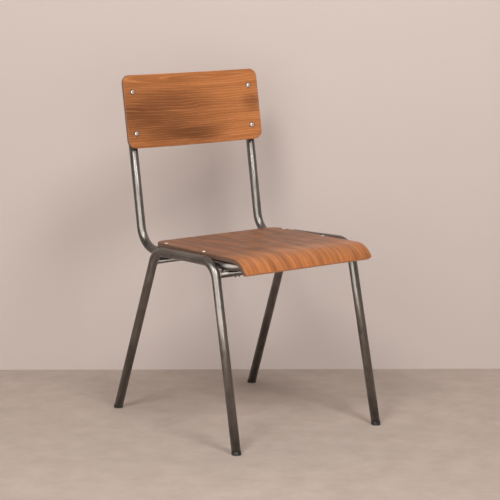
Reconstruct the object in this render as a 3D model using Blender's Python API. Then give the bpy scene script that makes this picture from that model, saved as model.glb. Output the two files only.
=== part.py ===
"""Stacking chair: bent steel tube, moulded plywood seat and back.

Metres, +Z up. The chair faces -Y, the sitter's left is +X, and the origin is on the floor,
in the middle of the footprint. Every part is its own object:

  two leg frames      each one tube bent into an upside-down U
  seat and back frame one tube: back upright, seat rail, front rail, seat rail, back upright
  two cross tubes     thinner tubes between the leg frames, which carry the seat rails
  seat and back       moulded plywood, held by blind rivets with their mandrels broken off
  plugs and buffers   black plastic inserts in the open tube ends, studs that a chair below meets
"""
import math

import bmesh
import bpy
from mathutils import Matrix, Vector

# ---- driving dimensions --------------------------------------------------------------------
GAP = 0.0003                 # clearance between touching pieces

TUBE_R = 0.0105              # main tube, 21 mm outside
CROSS_R = 0.0085             # cross tubes, 17 mm outside
TUBE_WALL = 0.0015           # of both
TUBE_SIDES = 16
BEND_STEPS = 8               # straight facets in one bend

# seat: heights are of the top of the plywood at y = 0
SEAT_TOP = 0.4281
SEAT_SLOPE = 0.020           # rise towards the front, per metre
SEAT_PLY = 0.0105
SEAT_HALF_WIDTH = 0.1800
SEAT_REAR = 0.1170           # y of the rear edge
SEAT_REAR_CORNER = 0.031
LIP_START = -0.2000          # y where the front edge starts to roll over
LIP_RADIUS = 0.060
LIP_TURN = math.radians(61.2)
LIP_CORNER = 0.007
ARRIS = 0.0006               # rounding of the edges of the plywood
SEAT_RIVET_Y = (0.0707, -0.0815)

# seat and back frame
RAIL_X = 0.1715
FRONT_RAIL_Y = -0.1970
FRONT_BEND = 0.045
UPRIGHT_SLOPE = 0.165        # lean to the rear, per metre of height
UPRIGHT_Y = 0.1862           # y of the upright's axis at UPRIGHT_Z
UPRIGHT_Z = 0.5000
UPRIGHT_TOP = 0.7920
REAR_BEND = 0.058

# leg frames: in a plane that leans out at the bottom
LEG_RAIL_X = 0.1945
LEG_SPLAY = 0.0187           # outward lean, per metre
LEG_SPLAY_Z = 0.4125         # height at which the legs stand LEG_RAIL_X apart from the middle
# the two frames differ a little, as hand-bent ones do; keys are the side, -1 right, 1 left
LEG_RAIL_Z = {-1: 0.4130, 1: 0.4175}      # axis of the top rail at y = 0
LEG_RAIL_SLOPE = {-1: 0.036, 1: 0.052}    # rise towards the front, per metre
FOOT_Y = (-0.2465, 0.2465)   # front and rear leg axis on the floor
LEG_TOP_Y = (-0.1592, 0.0854)  # the same at LEG_TOP_Z
LEG_TOP_Z = 0.4000
LEG_BEND = (0.048, 0.040)    # front and rear

CROSS_Z = (0.3907, 0.3857)   # axis of the front and the rear cross tube, just under the seat rails

# backrest
BACK_PLY = 0.0070
BACK_RADIUS = 1.30           # hollow of the front face
BACK_HALF_WIDTH = 0.1950
BACK_Z = (0.6352, 0.8060)    # height of the lower and the upper edge, on the uprights' axes
BACK_CORNER = 0.020
BACK_BELLY = 0.0015          # the lower edge hangs this much lower in the middle
BACK_RIVET_Z = (0.6693, 0.7662)

# blind rivet, 4.8 mm
RIVET_R = 0.0024
RIVET_HEAD_R = 0.00475
RIVET_HEAD_H = 0.0013
RIVET_BORE = 0.0012
RIVET_GRIP = 0.0010          # play between the tube's wall and the bulb
RIVET_BULB_R = 0.0032
RIVET_BULB_H = 0.0045
RIVET_SIDES = 12
DRILL_SIDES = 12
DRILL_OVER = 0.0020          # how far a cutter stands out of the face it drills
DRILL_UNDER = 0.0040         # and how far it passes the far face of the board
MANDREL_R = 0.0010
MANDREL_HEAD_R = 0.0022
MANDREL_HEAD_H = 0.0018
MANDREL_SUNK = 0.0006        # the broken end lies this deep in the head's bore
MANDREL_SIDES = 8

# plastic plugs
FOOT_HEAD_H = 0.0070         # at the leg's axis, above the floor
FOOT_HEAD_R = 0.0109
FOOT_SPARE = 0.0040          # cut off level with the floor
PLUG_SHANK_R = 0.0087
PLUG_SHANK_H = 0.0200
CAP_HEAD_H = 0.0025

# stacking studs under the front cross tube
STUD_X = (0.131, 0.1415)
STUD_R = 0.0018
STUD_H = 0.0022
STUD_SIDES = 10


# ---- materials -----------------------------------------------------------------------------
def material(name, colour, roughness, metallic=0.0):
    mat = bpy.data.materials.new(name)
    mat.use_nodes = True
    shader = mat.node_tree.nodes["Principled BSDF"]
    shader.inputs["Base Color"].default_value = (*colour, 1.0)
    shader.inputs["Roughness"].default_value = roughness
    shader.inputs["Metallic"].default_value = metallic
    return mat


def make_materials():
    return {
        "steel": material("lacquered_steel", (0.30, 0.28, 0.26), 0.32, 1.0),
        "veneer": material("lacquered_veneer", (0.36, 0.15, 0.06), 0.38),
        "rivet": material("aluminium_rivet", (0.78, 0.77, 0.74), 0.30, 1.0),
        "mandrel": material("steel_mandrel", (0.20, 0.19, 0.18), 0.45, 1.0),
        "plastic": material("black_plastic", (0.015, 0.014, 0.013), 0.45),
    }


# ---- mesh helpers --------------------------------------------------------------------------
def make_object(name, bm, mat, smooth_angle=35.0):
    bmesh.ops.recalc_face_normals(bm, faces=bm.faces)
    mesh = bpy.data.meshes.new(name)
    bm.to_mesh(mesh)
    bm.free()
    mesh.shade_smooth()
    mesh.set_sharp_from_angle(angle=math.radians(smooth_angle))
    mesh.materials.append(mat)
    obj = bpy.data.objects.new(name, mesh)
    bpy.context.scene.collection.objects.link(obj)
    return obj


def bent_path(corners, radii):
    """Points along straight runs that meet in round bends; one radius for each inner corner."""
    points = [Vector(corners[0])]
    for before, corner, after, radius in zip(corners, corners[1:], corners[2:], radii):
        corner = Vector(corner)
        back = (Vector(before) - corner).normalized()
        ahead = (Vector(after) - corner).normalized()
        half_turn = (math.pi - back.angle(ahead)) / 2
        reach = radius * math.tan(half_turn)
        centre = corner + (back + ahead).normalized() * (radius / math.cos(half_turn))
        start = corner + back * reach - centre
        axis = start.cross(corner + ahead * reach - centre).normalized()
        for step in range(BEND_STEPS + 1):
            turn = 2 * half_turn * step / BEND_STEPS
            points.append(centre + Matrix.Rotation(turn, 3, axis) @ start)
    points.append(Vector(corners[-1]))
    return points


def section_frames(points):
    """A pair of axes across the path at each point, carried along without twist."""
    runs = [(b - a).normalized() for a, b in zip(points, points[1:])]
    directions = [runs[0]]
    directions += [(a + b).normalized() for a, b in zip(runs, runs[1:])]
    directions.append(runs[-1])
    side = directions[0].orthogonal().normalized()
    frames = []
    for previous, direction in zip([directions[0]] + directions, directions):
        side = (previous.rotation_difference(direction) @ side).normalized()
        frames.append((side, direction.cross(side).normalized()))
    return frames


def sweep(points, radius, wall=None):
    """A round bar along the points or, with a wall, a tube that is open at both ends."""
    bm = bmesh.new()
    frames = section_frames(points)

    def rings(r):
        result = []
        for point, (u, v) in zip(points, frames):
            ring = []
            for k in range(TUBE_SIDES):
                a = 2 * math.pi * k / TUBE_SIDES
                ring.append(bm.verts.new(point + r * (math.cos(a) * u + math.sin(a) * v)))
            result.append(ring)
        return result

    def skin(ring_a, ring_b):
        for k in range(TUBE_SIDES):
            n = (k + 1) % TUBE_SIDES
            bm.faces.new((ring_a[k], ring_a[n], ring_b[n], ring_b[k]))

    outer = rings(radius)
    for ring_a, ring_b in zip(outer, outer[1:]):
        skin(ring_a, ring_b)
    if wall is None:
        bm.faces.new(outer[0])
        bm.faces.new(outer[-1])
    else:
        inner = rings(radius - wall)
        for ring_a, ring_b in zip(inner, inner[1:]):
            skin(ring_a, ring_b)
        skin(outer[0], inner[0])
        skin(outer[-1], inner[-1])
    return bm


def turned(profile, sides, place):
    """A turned solid from (radius, height) points; a closed ring if it never meets the axis."""
    bm = bmesh.new()
    rings = []
    for radius, height in profile:
        if radius == 0.0:
            rings.append([bm.verts.new((0, 0, height))])
            continue
        ring = []
        for k in range(sides):
            a = 2 * math.pi * k / sides
            ring.append(bm.verts.new((radius * math.cos(a), radius * math.sin(a), height)))
        rings.append(ring)
    pairs = list(zip(rings, rings[1:]))
    if profile[0][0] > 0.0:
        pairs.append((rings[-1], rings[0]))
    for ring_a, ring_b in pairs:
        for k in range(sides):
            n = (k + 1) % sides
            if len(ring_a) == 1:
                bm.faces.new((ring_a[0], ring_b[k], ring_b[n]))
            elif len(ring_b) == 1:
                bm.faces.new((ring_a[k], ring_a[n], ring_b[0]))
            else:
                bm.faces.new((ring_a[k], ring_a[n], ring_b[n], ring_b[k]))
    bm.transform(place)
    return bm


def frame_at(origin, z_axis, x_hint=Vector((1, 0, 0))):
    """A placement whose +Z points along z_axis."""
    z = Vector(z_axis).normalized()
    y = z.cross(x_hint).normalized()
    x = y.cross(z)
    rotation = Matrix((x, y, z)).transposed().to_4x4()
    return Matrix.Translation(origin) @ rotation


def cut(obj, cutters):
    """Cuts the closed solids in cutters, a list of bmeshes, out of obj."""
    joined = bpy.data.meshes.new(obj.name + "_cutter")
    total = bmesh.new()
    for cutter in cutters:
        bmesh.ops.recalc_face_normals(cutter, faces=cutter.faces)
        part = bpy.data.meshes.new("piece")
        cutter.to_mesh(part)
        cutter.free()
        total.from_mesh(part)
        bpy.data.meshes.remove(part)
    total.to_mesh(joined)
    total.free()
    tool = bpy.data.objects.new(obj.name + "_cutter", joined)
    tool.hide_render = True
    tool.display_type = "WIRE"
    bpy.context.scene.collection.objects.link(tool)
    modifier = obj.modifiers.new("holes", "BOOLEAN")
    modifier.operation = "DIFFERENCE"
    modifier.solver = "EXACT"
    modifier.object = tool


def drill(origin, direction, radius, depth):
    """A round cutter from just above origin down against direction."""
    profile = [(0.0, DRILL_OVER), (radius, DRILL_OVER), (radius, -depth), (0.0, -depth)]
    return turned(profile, DRILL_SIDES, frame_at(origin, direction))


# ---- where things are ----------------------------------------------------------------------
SEAT_UP = Vector((0, SEAT_SLOPE, 1)).normalized()
SEAT_AHEAD = Vector((0, -1, SEAT_SLOPE)).normalized()
BACK_UP = Vector((0, UPRIGHT_SLOPE, 1)).normalized()
BACK_AHEAD = Vector((0, -1, UPRIGHT_SLOPE)).normalized()


def seat_point(y):
    """On the top of the seat's flat part."""
    return Vector((0, y, SEAT_TOP - SEAT_SLOPE * y))


def rail_point(x, y):
    """On the axis of a seat rail, which the plywood rests on."""
    return Vector((x, y, seat_point(y).z)) - SEAT_UP * (SEAT_PLY + GAP + TUBE_R)


def upright_point(x, z):
    return Vector((x, UPRIGHT_Y + UPRIGHT_SLOPE * (z - UPRIGHT_Z), z))


def leg_x(z):
    return LEG_RAIL_X + LEG_SPLAY * (LEG_SPLAY_Z - z)


def leg_lean(end):
    """How far a leg comes forward or back, per metre of height: end 0 is front, 1 is rear."""
    return (LEG_TOP_Y[end] - FOOT_Y[end]) / LEG_TOP_Z


def leg_point(side, end, z):
    """On the axis of a leg: side -1 is right and 1 is left."""
    return Vector((side * leg_x(z), FOOT_Y[end] + leg_lean(end) * z, z))


def leg_corner(side, end):
    """Where the axes of a leg and the top rail would meet."""
    slope = LEG_RAIL_SLOPE[side]
    z = (LEG_RAIL_Z[side] - slope * FOOT_Y[end]) / (1 + slope * leg_lean(end))
    return leg_point(side, end, z)


def frame_corner(side):
    """Where the axes of a seat rail and an upright would meet."""
    rail = rail_point(0, 0)
    level = upright_point(0, rail.z)
    y = (level.y + UPRIGHT_SLOPE * SEAT_SLOPE * rail.y) / (1 + UPRIGHT_SLOPE * SEAT_SLOPE)
    return upright_point(side * RAIL_X, rail.z - SEAT_SLOPE * (y - rail.y))


def leg_path(side):
    foot_z = FOOT_HEAD_H + GAP
    corners = [
        leg_point(side, 0, foot_z),
        leg_corner(side, 0),
        leg_corner(side, 1),
        leg_point(side, 1, foot_z),
    ]
    return bent_path(corners, LEG_BEND)


BACK_HUB = BACK_RADIUS + BACK_PLY + GAP + TUBE_R   # from the hollow's axis to the tube's axis
BACK_SWING = math.asin(RAIL_X / BACK_HUB)          # angle of a tube, seen from that axis


def back_hub(z):
    """On the axis of the backrest's hollow, level with height z of the uprights."""
    return upright_point(0, z) + BACK_AHEAD * (BACK_HUB * math.cos(BACK_SWING))


def back_normal(side):
    """From an upright to the hollow's axis: the direction of its rivets."""
    return BACK_AHEAD * math.cos(BACK_SWING) - Vector((side, 0, 0)) * math.sin(BACK_SWING)


# ---- frames --------------------------------------------------------------------------------
def seat_rivet_spots():
    """Name, place under the head, direction of the head, thickness of the board."""
    spots = []
    for side, side_name in ((1, "left"), (-1, "right")):
        for y, end_name in zip(SEAT_RIVET_Y, ("rear", "front")):
            rail = rail_point(side * RAIL_X, y)
            head = rail + SEAT_UP * (TUBE_R + GAP + SEAT_PLY + GAP)
            spots.append((f"seat_rivet_{side_name}_{end_name}", head, SEAT_UP, SEAT_PLY))
    return spots


def back_rivet_spots():
    spots = []
    for side, side_name in ((1, "left"), (-1, "right")):
        for z, end_name in zip(BACK_RIVET_Z, ("lower", "upper")):
            normal = back_normal(side)
            axis = upright_point(side * RAIL_X, z)
            head = axis + normal * (TUBE_R + GAP + BACK_PLY + GAP)
            spots.append((f"back_rivet_{side_name}_{end_name}", head, normal, BACK_PLY))
    return spots


def make_seat_back_frame(mats):
    corners = [
        upright_point(RAIL_X, UPRIGHT_TOP),
        frame_corner(1),
        rail_point(RAIL_X, FRONT_RAIL_Y),
        rail_point(-RAIL_X, FRONT_RAIL_Y),
        frame_corner(-1),
        upright_point(-RAIL_X, UPRIGHT_TOP),
    ]
    points = bent_path(corners, [REAR_BEND, FRONT_BEND, FRONT_BEND, REAR_BEND])
    obj = make_object("seat_back_frame", sweep(points, TUBE_R, TUBE_WALL), mats["steel"])
    holes = []
    for _, head, direction, ply in seat_rivet_spots() + back_rivet_spots():
        holes.append(drill(head, direction, RIVET_R + GAP, ply + TUBE_R))
    cut(obj, holes)


def make_leg_frame(side, name, mats):
    make_object(name, sweep(leg_path(side), TUBE_R, TUBE_WALL), mats["steel"])


def make_cross_tube(name, end, mats):
    """A thin tube whose ends are shaped to the legs they meet."""
    ends = [leg_point(side, end, CROSS_Z[end]) for side in (1, -1)]
    obj = make_object(name, sweep(ends, CROSS_R, TUBE_WALL), mats["steel"])
    cut(obj, [sweep(leg_path(side), TUBE_R + GAP) for side in (1, -1)])


# ---- plywood -------------------------------------------------------------------------------
def plate(name, rows, thickness, mat):
    """A bent board. Each row is its points across the face, and the way the face looks there."""
    bm = bmesh.new()
    faces = []
    for points, up in rows:
        top = [bm.verts.new(p) for p in points]
        bottom = [bm.verts.new(p - up * thickness) for p in points]
        faces.append((top, bottom))
    count = len(faces[0][0])
    for (top_a, bottom_a), (top_b, bottom_b) in zip(faces, faces[1:]):
        for k in range(count - 1):
            bm.faces.new((top_a[k], top_a[k + 1], top_b[k + 1], top_b[k]))
            bm.faces.new((bottom_a[k], bottom_b[k], bottom_b[k + 1], bottom_a[k + 1]))
        bm.faces.new((top_a[0], top_b[0], bottom_b[0], bottom_a[0]))
        bm.faces.new((top_a[-1], bottom_a[-1], bottom_b[-1], top_b[-1]))
    for top, bottom in (faces[0], faces[-1]):
        for k in range(count - 1):
            bm.faces.new((top[k], bottom[k], bottom[k + 1], top[k + 1]))
    obj = make_object(name, bm, mat)
    modifier = obj.modifiers.new("arris", "BEVEL")
    modifier.width = ARRIS
    modifier.segments = 2
    modifier.limit_method = "ANGLE"
    modifier.angle_limit = math.radians(50)
    return obj


def corner_inset(distance, radius):
    """How far a round corner of this radius pulls the side in, this far from the end."""
    if distance >= radius:
        return 0.0
    return radius - math.sqrt(radius ** 2 - (radius - distance) ** 2)


def corner_steps(radius, steps):
    """Distances from the end of a board that follow a round corner evenly."""
    return [radius * (1 - math.cos(math.pi / 2 * k / steps)) for k in range(1, steps + 1)]


def cut_rivet_holes(obj, spots):
    cut(obj, [drill(head, up, RIVET_R + GAP, ply + DRILL_UNDER) for _, head, up, ply in spots])


def make_seat(mats):
    """Rows run from the rear edge along the top surface, over the lip, to its end."""
    flat = (SEAT_REAR - LIP_START) / SEAT_AHEAD.dot(Vector((0, -1, 0)))
    lip = LIP_RADIUS * LIP_TURN
    length = flat + lip
    stations = [0.0] + corner_steps(SEAT_REAR_CORNER, 7) + [flat]
    stations += [flat + lip * k / 9 for k in range(1, 8)]
    stations += [length - d for d in reversed([0.0] + corner_steps(LIP_CORNER, 3))]
    rows = []
    for s in stations:
        turn = max(0.0, s - flat) / LIP_RADIUS
        down = SEAT_UP * (LIP_RADIUS * (1 - math.cos(turn)))
        ahead = SEAT_AHEAD * (min(s, flat) + LIP_RADIUS * math.sin(turn))
        point = seat_point(SEAT_REAR) + ahead - down
        inset = corner_inset(s, SEAT_REAR_CORNER) + corner_inset(length - s, LIP_CORNER)
        half = Vector((SEAT_HALF_WIDTH - inset, 0, 0))
        up = SEAT_UP * math.cos(turn) + SEAT_AHEAD * math.sin(turn)
        rows.append(([point - half, point + half], up))
    obj = plate("seat_panel", rows, SEAT_PLY, mats["veneer"])
    cut_rivet_holes(obj, seat_rivet_spots())


def make_backrest(mats):
    """Rows run from the right edge to the left one, across the hollow."""
    half_height = (BACK_Z[1] - BACK_Z[0]) / 2 * math.sqrt(1 + UPRIGHT_SLOPE ** 2)
    straight = BACK_HALF_WIDTH - BACK_CORNER
    corner = [0.0] + corner_steps(BACK_CORNER, 5)
    stations = [d - BACK_HALF_WIDTH for d in corner]
    stations += [straight * k / 4 for k in range(-3, 4)]
    stations += [BACK_HALF_WIDTH - d for d in reversed(corner)]
    hub = back_hub((BACK_Z[0] + BACK_Z[1]) / 2)
    rows = []
    for x in stations:
        swing = x / BACK_RADIUS
        out = Vector((math.sin(swing), 0, 0)) - BACK_AHEAD * math.cos(swing)
        face = hub + out * BACK_RADIUS
        inset = corner_inset(BACK_HALF_WIDTH - abs(x), BACK_CORNER)
        belly = BACK_BELLY * (1 - (x / BACK_HALF_WIDTH) ** 2)
        low = face - BACK_UP * (half_height - inset + belly)
        high = face + BACK_UP * (half_height - inset)
        rows.append(([low, face, high], -out))
    obj = plate("backrest_panel", rows, BACK_PLY, mats["veneer"])
    cut_rivet_holes(obj, back_rivet_spots())


# ---- fasteners, plugs, studs ---------------------------------------------------------------
def make_rivet(name, head, direction, ply, mats):
    """Heights are measured from the underside of the head."""
    bulb_top = -(ply + 2 * GAP) - TUBE_WALL - RIVET_GRIP
    end = bulb_top - RIVET_BULB_H
    profile = [
        (RIVET_BORE, RIVET_HEAD_H),
        (RIVET_HEAD_R * 0.45, RIVET_HEAD_H),
        (RIVET_HEAD_R * 0.80, RIVET_HEAD_H * 0.72),
        (RIVET_HEAD_R, RIVET_HEAD_H * 0.22),
        (RIVET_HEAD_R, 0.0),
        (RIVET_R, 0.0),
        (RIVET_R, bulb_top),
        (RIVET_BULB_R, bulb_top - RIVET_BULB_H * 0.25),
        (RIVET_BULB_R, bulb_top - RIVET_BULB_H * 0.55),
        (RIVET_R, end),
        (RIVET_BORE, end),
    ]
    place = frame_at(head, direction)
    make_object(name, turned(profile, RIVET_SIDES, place), mats["rivet"])
    head_top = end - GAP
    mandrel = [
        (0.0, -MANDREL_SUNK),
        (MANDREL_R, -MANDREL_SUNK),
        (MANDREL_R, head_top),
        (MANDREL_HEAD_R, head_top),
        (MANDREL_HEAD_R, head_top - MANDREL_HEAD_H * 0.6),
        (0.0, head_top - MANDREL_HEAD_H),
    ]
    make_object(name + "_mandrel", turned(mandrel, MANDREL_SIDES, place), mats["mandrel"])


def plug_shank():
    """The part of a plug inside the tube, from its head upwards."""
    return [
        (PLUG_SHANK_R, 0.0),
        (PLUG_SHANK_R, PLUG_SHANK_H * 0.85),
        (PLUG_SHANK_R * 0.85, PLUG_SHANK_H),
        (0.0, PLUG_SHANK_H),
    ]


def make_upright_plug(side, name, mats):
    """A cap on the open top end of an upright."""
    profile = [
        (0.0, -CAP_HEAD_H),
        (TUBE_R * 0.80, -CAP_HEAD_H),
        (TUBE_R * 0.96, -CAP_HEAD_H * 0.82),
        (TUBE_R, -CAP_HEAD_H * 0.60),
        (TUBE_R, 0.0),
    ]
    place = frame_at(upright_point(side * RAIL_X, UPRIGHT_TOP) + BACK_UP * GAP, -BACK_UP)
    make_object(name, turned(profile + plug_shank(), TUBE_SIDES, place), mats["plastic"])


def make_foot_plug(side, end, name, mats):
    """A foot under a leg, its underside cut level with the floor."""
    top = leg_point(side, end, FOOT_HEAD_H)
    axis = (leg_point(side, end, LEG_TOP_Z) - top).normalized()
    below = FOOT_HEAD_H / axis.z
    profile = [
        (0.0, -below - FOOT_SPARE),
        (FOOT_HEAD_R * 0.97, -below - FOOT_SPARE),
        (FOOT_HEAD_R, -below * 0.5),
        (FOOT_HEAD_R, 0.0),
    ]
    bm = turned(profile + plug_shank(), TUBE_SIDES, frame_at(top, axis))
    geometry = bm.verts[:] + bm.edges[:] + bm.faces[:]
    level = bmesh.ops.bisect_plane(bm, geom=geometry, plane_co=(0, 0, 0), plane_no=(0, 0, -1),
                                   clear_outer=True)
    rim = [item for item in level["geom_cut"] if isinstance(item, bmesh.types.BMEdge)]
    bmesh.ops.contextual_create(bm, geom=rim)
    make_object(name, bm, mats["plastic"])


def make_stud(side, x, name, mats):
    """A stud under the front cross tube, where the chair below meets it in a stack."""
    profile = [
        (0.0, 0.0),
        (STUD_R, 0.0),
        (STUD_R, -STUD_H * 0.7),
        (STUD_R * 0.7, -STUD_H),
        (0.0, -STUD_H),
    ]
    tube = leg_point(side, 0, CROSS_Z[0])
    place = Matrix.Translation((side * x, tube.y, tube.z - CROSS_R - GAP))
    make_object(name, turned(profile, STUD_SIDES, place), mats["plastic"])


# ---- the chair -----------------------------------------------------------------------------
def main():
    for obj in list(bpy.data.objects):
        bpy.data.objects.remove(obj)
    mats = make_materials()
    make_seat_back_frame(mats)
    make_cross_tube("front_cross_tube", 0, mats)
    make_cross_tube("rear_cross_tube", 1, mats)
    make_seat(mats)
    make_backrest(mats)
    for name, head, direction, ply in seat_rivet_spots() + back_rivet_spots():
        make_rivet(name, head, direction, ply, mats)
    for side, side_name in ((1, "left"), (-1, "right")):
        make_leg_frame(side, f"leg_frame_{side_name}", mats)
        make_foot_plug(side, 0, f"foot_plug_{side_name}_front", mats)
        make_foot_plug(side, 1, f"foot_plug_{side_name}_rear", mats)
        make_upright_plug(side, f"upright_plug_{side_name}", mats)
        make_stud(side, STUD_X[0], f"stacking_stud_{side_name}_inner", mats)
        make_stud(side, STUD_X[1], f"stacking_stud_{side_name}_outer", mats)


main()
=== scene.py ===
# %% [markdown]
# # A stacking chair, finished around its CAD model
#
# The real chair is raw steel tube, bent and welded, under clear lacquer, with a seat and a back
# of moulded plywood held by blind rivets. The CAD model is exact about sizes but its round
# parts are coarse and its boards have no figure. Each cell below replaces some of its nodes
# by a finer piece of the same size in the same place. Everything is in metres, +Z up; the chair
# faces -Y, and the sitter's left is +X.

# %% Load the CAD model
import math

import bmesh
import bpy
from mathutils import Matrix, Vector


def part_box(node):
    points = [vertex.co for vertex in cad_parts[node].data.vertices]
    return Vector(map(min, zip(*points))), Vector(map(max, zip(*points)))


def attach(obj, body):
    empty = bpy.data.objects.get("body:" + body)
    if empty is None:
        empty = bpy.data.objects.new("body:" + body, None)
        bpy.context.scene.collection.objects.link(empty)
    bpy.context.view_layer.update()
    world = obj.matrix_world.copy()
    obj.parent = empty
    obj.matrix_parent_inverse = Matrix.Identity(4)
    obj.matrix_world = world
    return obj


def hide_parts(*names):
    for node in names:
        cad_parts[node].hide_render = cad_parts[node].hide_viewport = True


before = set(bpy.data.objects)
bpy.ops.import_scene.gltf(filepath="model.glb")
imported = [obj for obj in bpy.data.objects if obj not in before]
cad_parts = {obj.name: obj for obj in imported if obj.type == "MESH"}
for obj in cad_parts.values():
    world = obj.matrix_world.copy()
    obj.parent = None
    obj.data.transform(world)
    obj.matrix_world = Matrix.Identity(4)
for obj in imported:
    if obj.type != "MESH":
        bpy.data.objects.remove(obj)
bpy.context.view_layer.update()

# %% [markdown]
# ## Sizes
#
# A maker's drawing gives a few driving sizes and lets the rest follow. Some are read off the CAD
# nodes' boxes; the others, such as bend radii, gaps and slopes, are repeated from the drawing.
# Later cells print how far each new piece's box is from the nodes that it replaces.

# %% Driving sizes
TUBE_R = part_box("upright_plug_left")[1].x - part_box("upright_plug_left")[0].x
TUBE_R = round(TUBE_R / 2, 4)        # main tube, 21 mm outside
CROSS_R = 0.0085                     # cross tubes, 17 mm outside
TUBE_WALL = 0.0015
GAP = 0.0003                         # clearance between touching pieces

RAIL_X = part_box("seat_back_frame")[1].x - TUBE_R
FRONT_RAIL_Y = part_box("seat_back_frame")[0].y + TUBE_R
FRONT_BEND = 0.045
REAR_BEND = 0.058
UPRIGHT_LEAN = 0.165                 # to the rear, per metre of height
UPRIGHT_Y = 0.1862                   # y of the uprights' axis at height UPRIGHT_Z
UPRIGHT_Z = 0.5000
UPRIGHT_TOP = 0.7920

SEAT_TOP = 0.4281                    # top of the plywood at y = 0
SEAT_SLOPE = 0.020                   # rise towards the front, per metre
SEAT_PLY = 0.0105
SEAT_HALF_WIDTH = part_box("seat_panel")[1].x
SEAT_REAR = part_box("seat_panel")[1].y
SEAT_REAR_CORNER = 0.031
LIP_START = -0.2000                  # y where the front edge starts to roll over
LIP_RADIUS = 0.060
LIP_TURN = math.radians(61.2)
LIP_CORNER = 0.007
SEAT_RIVET_Y = (0.0707, -0.0815)

BACK_PLY = 0.0070
BACK_RADIUS = 1.30                   # hollow of the front face
BACK_HALF_WIDTH = 0.1950             # along the curve
BACK_Z = (0.6352, 0.8060)            # lower and upper edge, measured on the uprights' axes
BACK_CORNER = 0.020
BACK_BELLY = 0.0015                  # the lower edge hangs this much lower in the middle
BACK_RIVET_Z = (0.6693, 0.7662)

LEG_RAIL_X = 0.1945
LEG_SPLAY = 0.0187                   # outward lean, per metre
LEG_SPLAY_Z = 0.4125                 # height at which the legs are LEG_RAIL_X from the middle
LEG_RAIL_Z = {-1: 0.4130, 1: 0.4175}     # right and left frame: hand-bent ones differ a little
LEG_RAIL_SLOPE = {-1: 0.036, 1: 0.052}
FOOT_Y = (-0.2465, 0.2465)           # front and rear leg axis on the floor
LEG_TOP_Y = (-0.1592, 0.0854)        # the same at height LEG_TOP_Z
LEG_TOP_Z = 0.4000
LEG_BEND = (0.048, 0.040)
CROSS_Z = (0.3907, 0.3857)           # axis of the front and the rear cross tube
FOOT_HEAD_H = 0.0070
FOOT_HEAD_R = 0.0109

# %% [markdown]
# ## Where things are
#
# Bent tube is drawn as the straight lines that its axis would follow, with a bend radius where
# they meet. These functions give points on those lines, so that the tubes, the welds, the rivets
# and the plugs all agree about where a leg or a rail is.

# %% Axes of the tubes, planes of the boards
SEAT_UP = Vector((0, SEAT_SLOPE, 1)).normalized()
SEAT_AHEAD = Vector((0, -1, SEAT_SLOPE)).normalized()
BACK_UP = Vector((0, UPRIGHT_LEAN, 1)).normalized()
BACK_AHEAD = Vector((0, -1, UPRIGHT_LEAN)).normalized()
SIDES = {"left": 1, "right": -1}


def seat_point(y):
    """On the top of the seat's flat part."""
    return Vector((0, y, SEAT_TOP - SEAT_SLOPE * y))


def rail_point(x, y):
    """On the axis of a seat rail, which the plywood rests on."""
    return Vector((x, y, seat_point(y).z)) - SEAT_UP * (SEAT_PLY + GAP + TUBE_R)


def upright_point(x, z):
    """On the axis of a back upright."""
    return Vector((x, UPRIGHT_Y + UPRIGHT_LEAN * (z - UPRIGHT_Z), z))


def leg_point(side, end, z):
    """On the axis of a leg: side -1 is right and 1 is left, end 0 is front and 1 is rear."""
    lean = (LEG_TOP_Y[end] - FOOT_Y[end]) / LEG_TOP_Z
    return Vector((side * (LEG_RAIL_X + LEG_SPLAY * (LEG_SPLAY_Z - z)), FOOT_Y[end] + lean * z, z))


def leg_corner(side, end):
    """Where the axes of a leg and the rail between the legs would meet."""
    lean = (LEG_TOP_Y[end] - FOOT_Y[end]) / LEG_TOP_Z
    slope = LEG_RAIL_SLOPE[side]
    return leg_point(side, end, (LEG_RAIL_Z[side] - slope * FOOT_Y[end]) / (1 + slope * lean))


def frame_corner(side):
    """Where the axes of a seat rail and an upright would meet."""
    rail = rail_point(0, 0)
    level = upright_point(0, rail.z)
    y = level.y + UPRIGHT_LEAN * SEAT_SLOPE * rail.y
    y /= 1 + UPRIGHT_LEAN * SEAT_SLOPE
    return upright_point(side * RAIL_X, rail.z - SEAT_SLOPE * (y - rail.y))


BACK_HUB = BACK_RADIUS + BACK_PLY + GAP + TUBE_R   # from the hollow's axis to an upright's axis
BACK_SWING = math.asin(RAIL_X / BACK_HUB)


def back_hub(z):
    """On the axis of the backrest's hollow, level with height z of the uprights."""
    return upright_point(0, z) + BACK_AHEAD * (BACK_HUB * math.cos(BACK_SWING))


def back_normal(side):
    """From an upright towards the hollow's axis: the direction of its rivets."""
    return BACK_AHEAD * math.cos(BACK_SWING) - Vector((side, 0, 0)) * math.sin(BACK_SWING)


print("rail corner:", [round(v, 4) for v in frame_corner(1)])

# %% [markdown]
# ## Camera
#
# The chair is seen from its front right and a little from above, with a long lens from about
# four metres, which keeps the tubes nearly parallel. The camera is placed by angles round the
# point it looks at: azimuth 0 would look straight at the front.

# %% Camera
VIEW_AZIMUTH = math.radians(-36.3008)
VIEW_ELEVATION = math.radians(10.1502)
VIEW_ROLL = math.radians(-0.1395)
VIEW_DISTANCE = 3.9803
VIEW_AIM = Vector((0, -0.02345, 0.40638))
LENS = 122.306                       # mm, on a 36 mm sensor

view_back = Vector((
    math.sin(VIEW_AZIMUTH) * math.cos(VIEW_ELEVATION),
    -math.cos(VIEW_AZIMUTH) * math.cos(VIEW_ELEVATION),
    math.sin(VIEW_ELEVATION),
))
view_right = Vector((math.cos(VIEW_AZIMUTH), math.sin(VIEW_AZIMUTH), 0))
view_up = view_back.cross(view_right)
rolled_right = view_right * math.cos(VIEW_ROLL) + view_up * math.sin(VIEW_ROLL)
rolled_up = view_up * math.cos(VIEW_ROLL) - view_right * math.sin(VIEW_ROLL)

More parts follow.
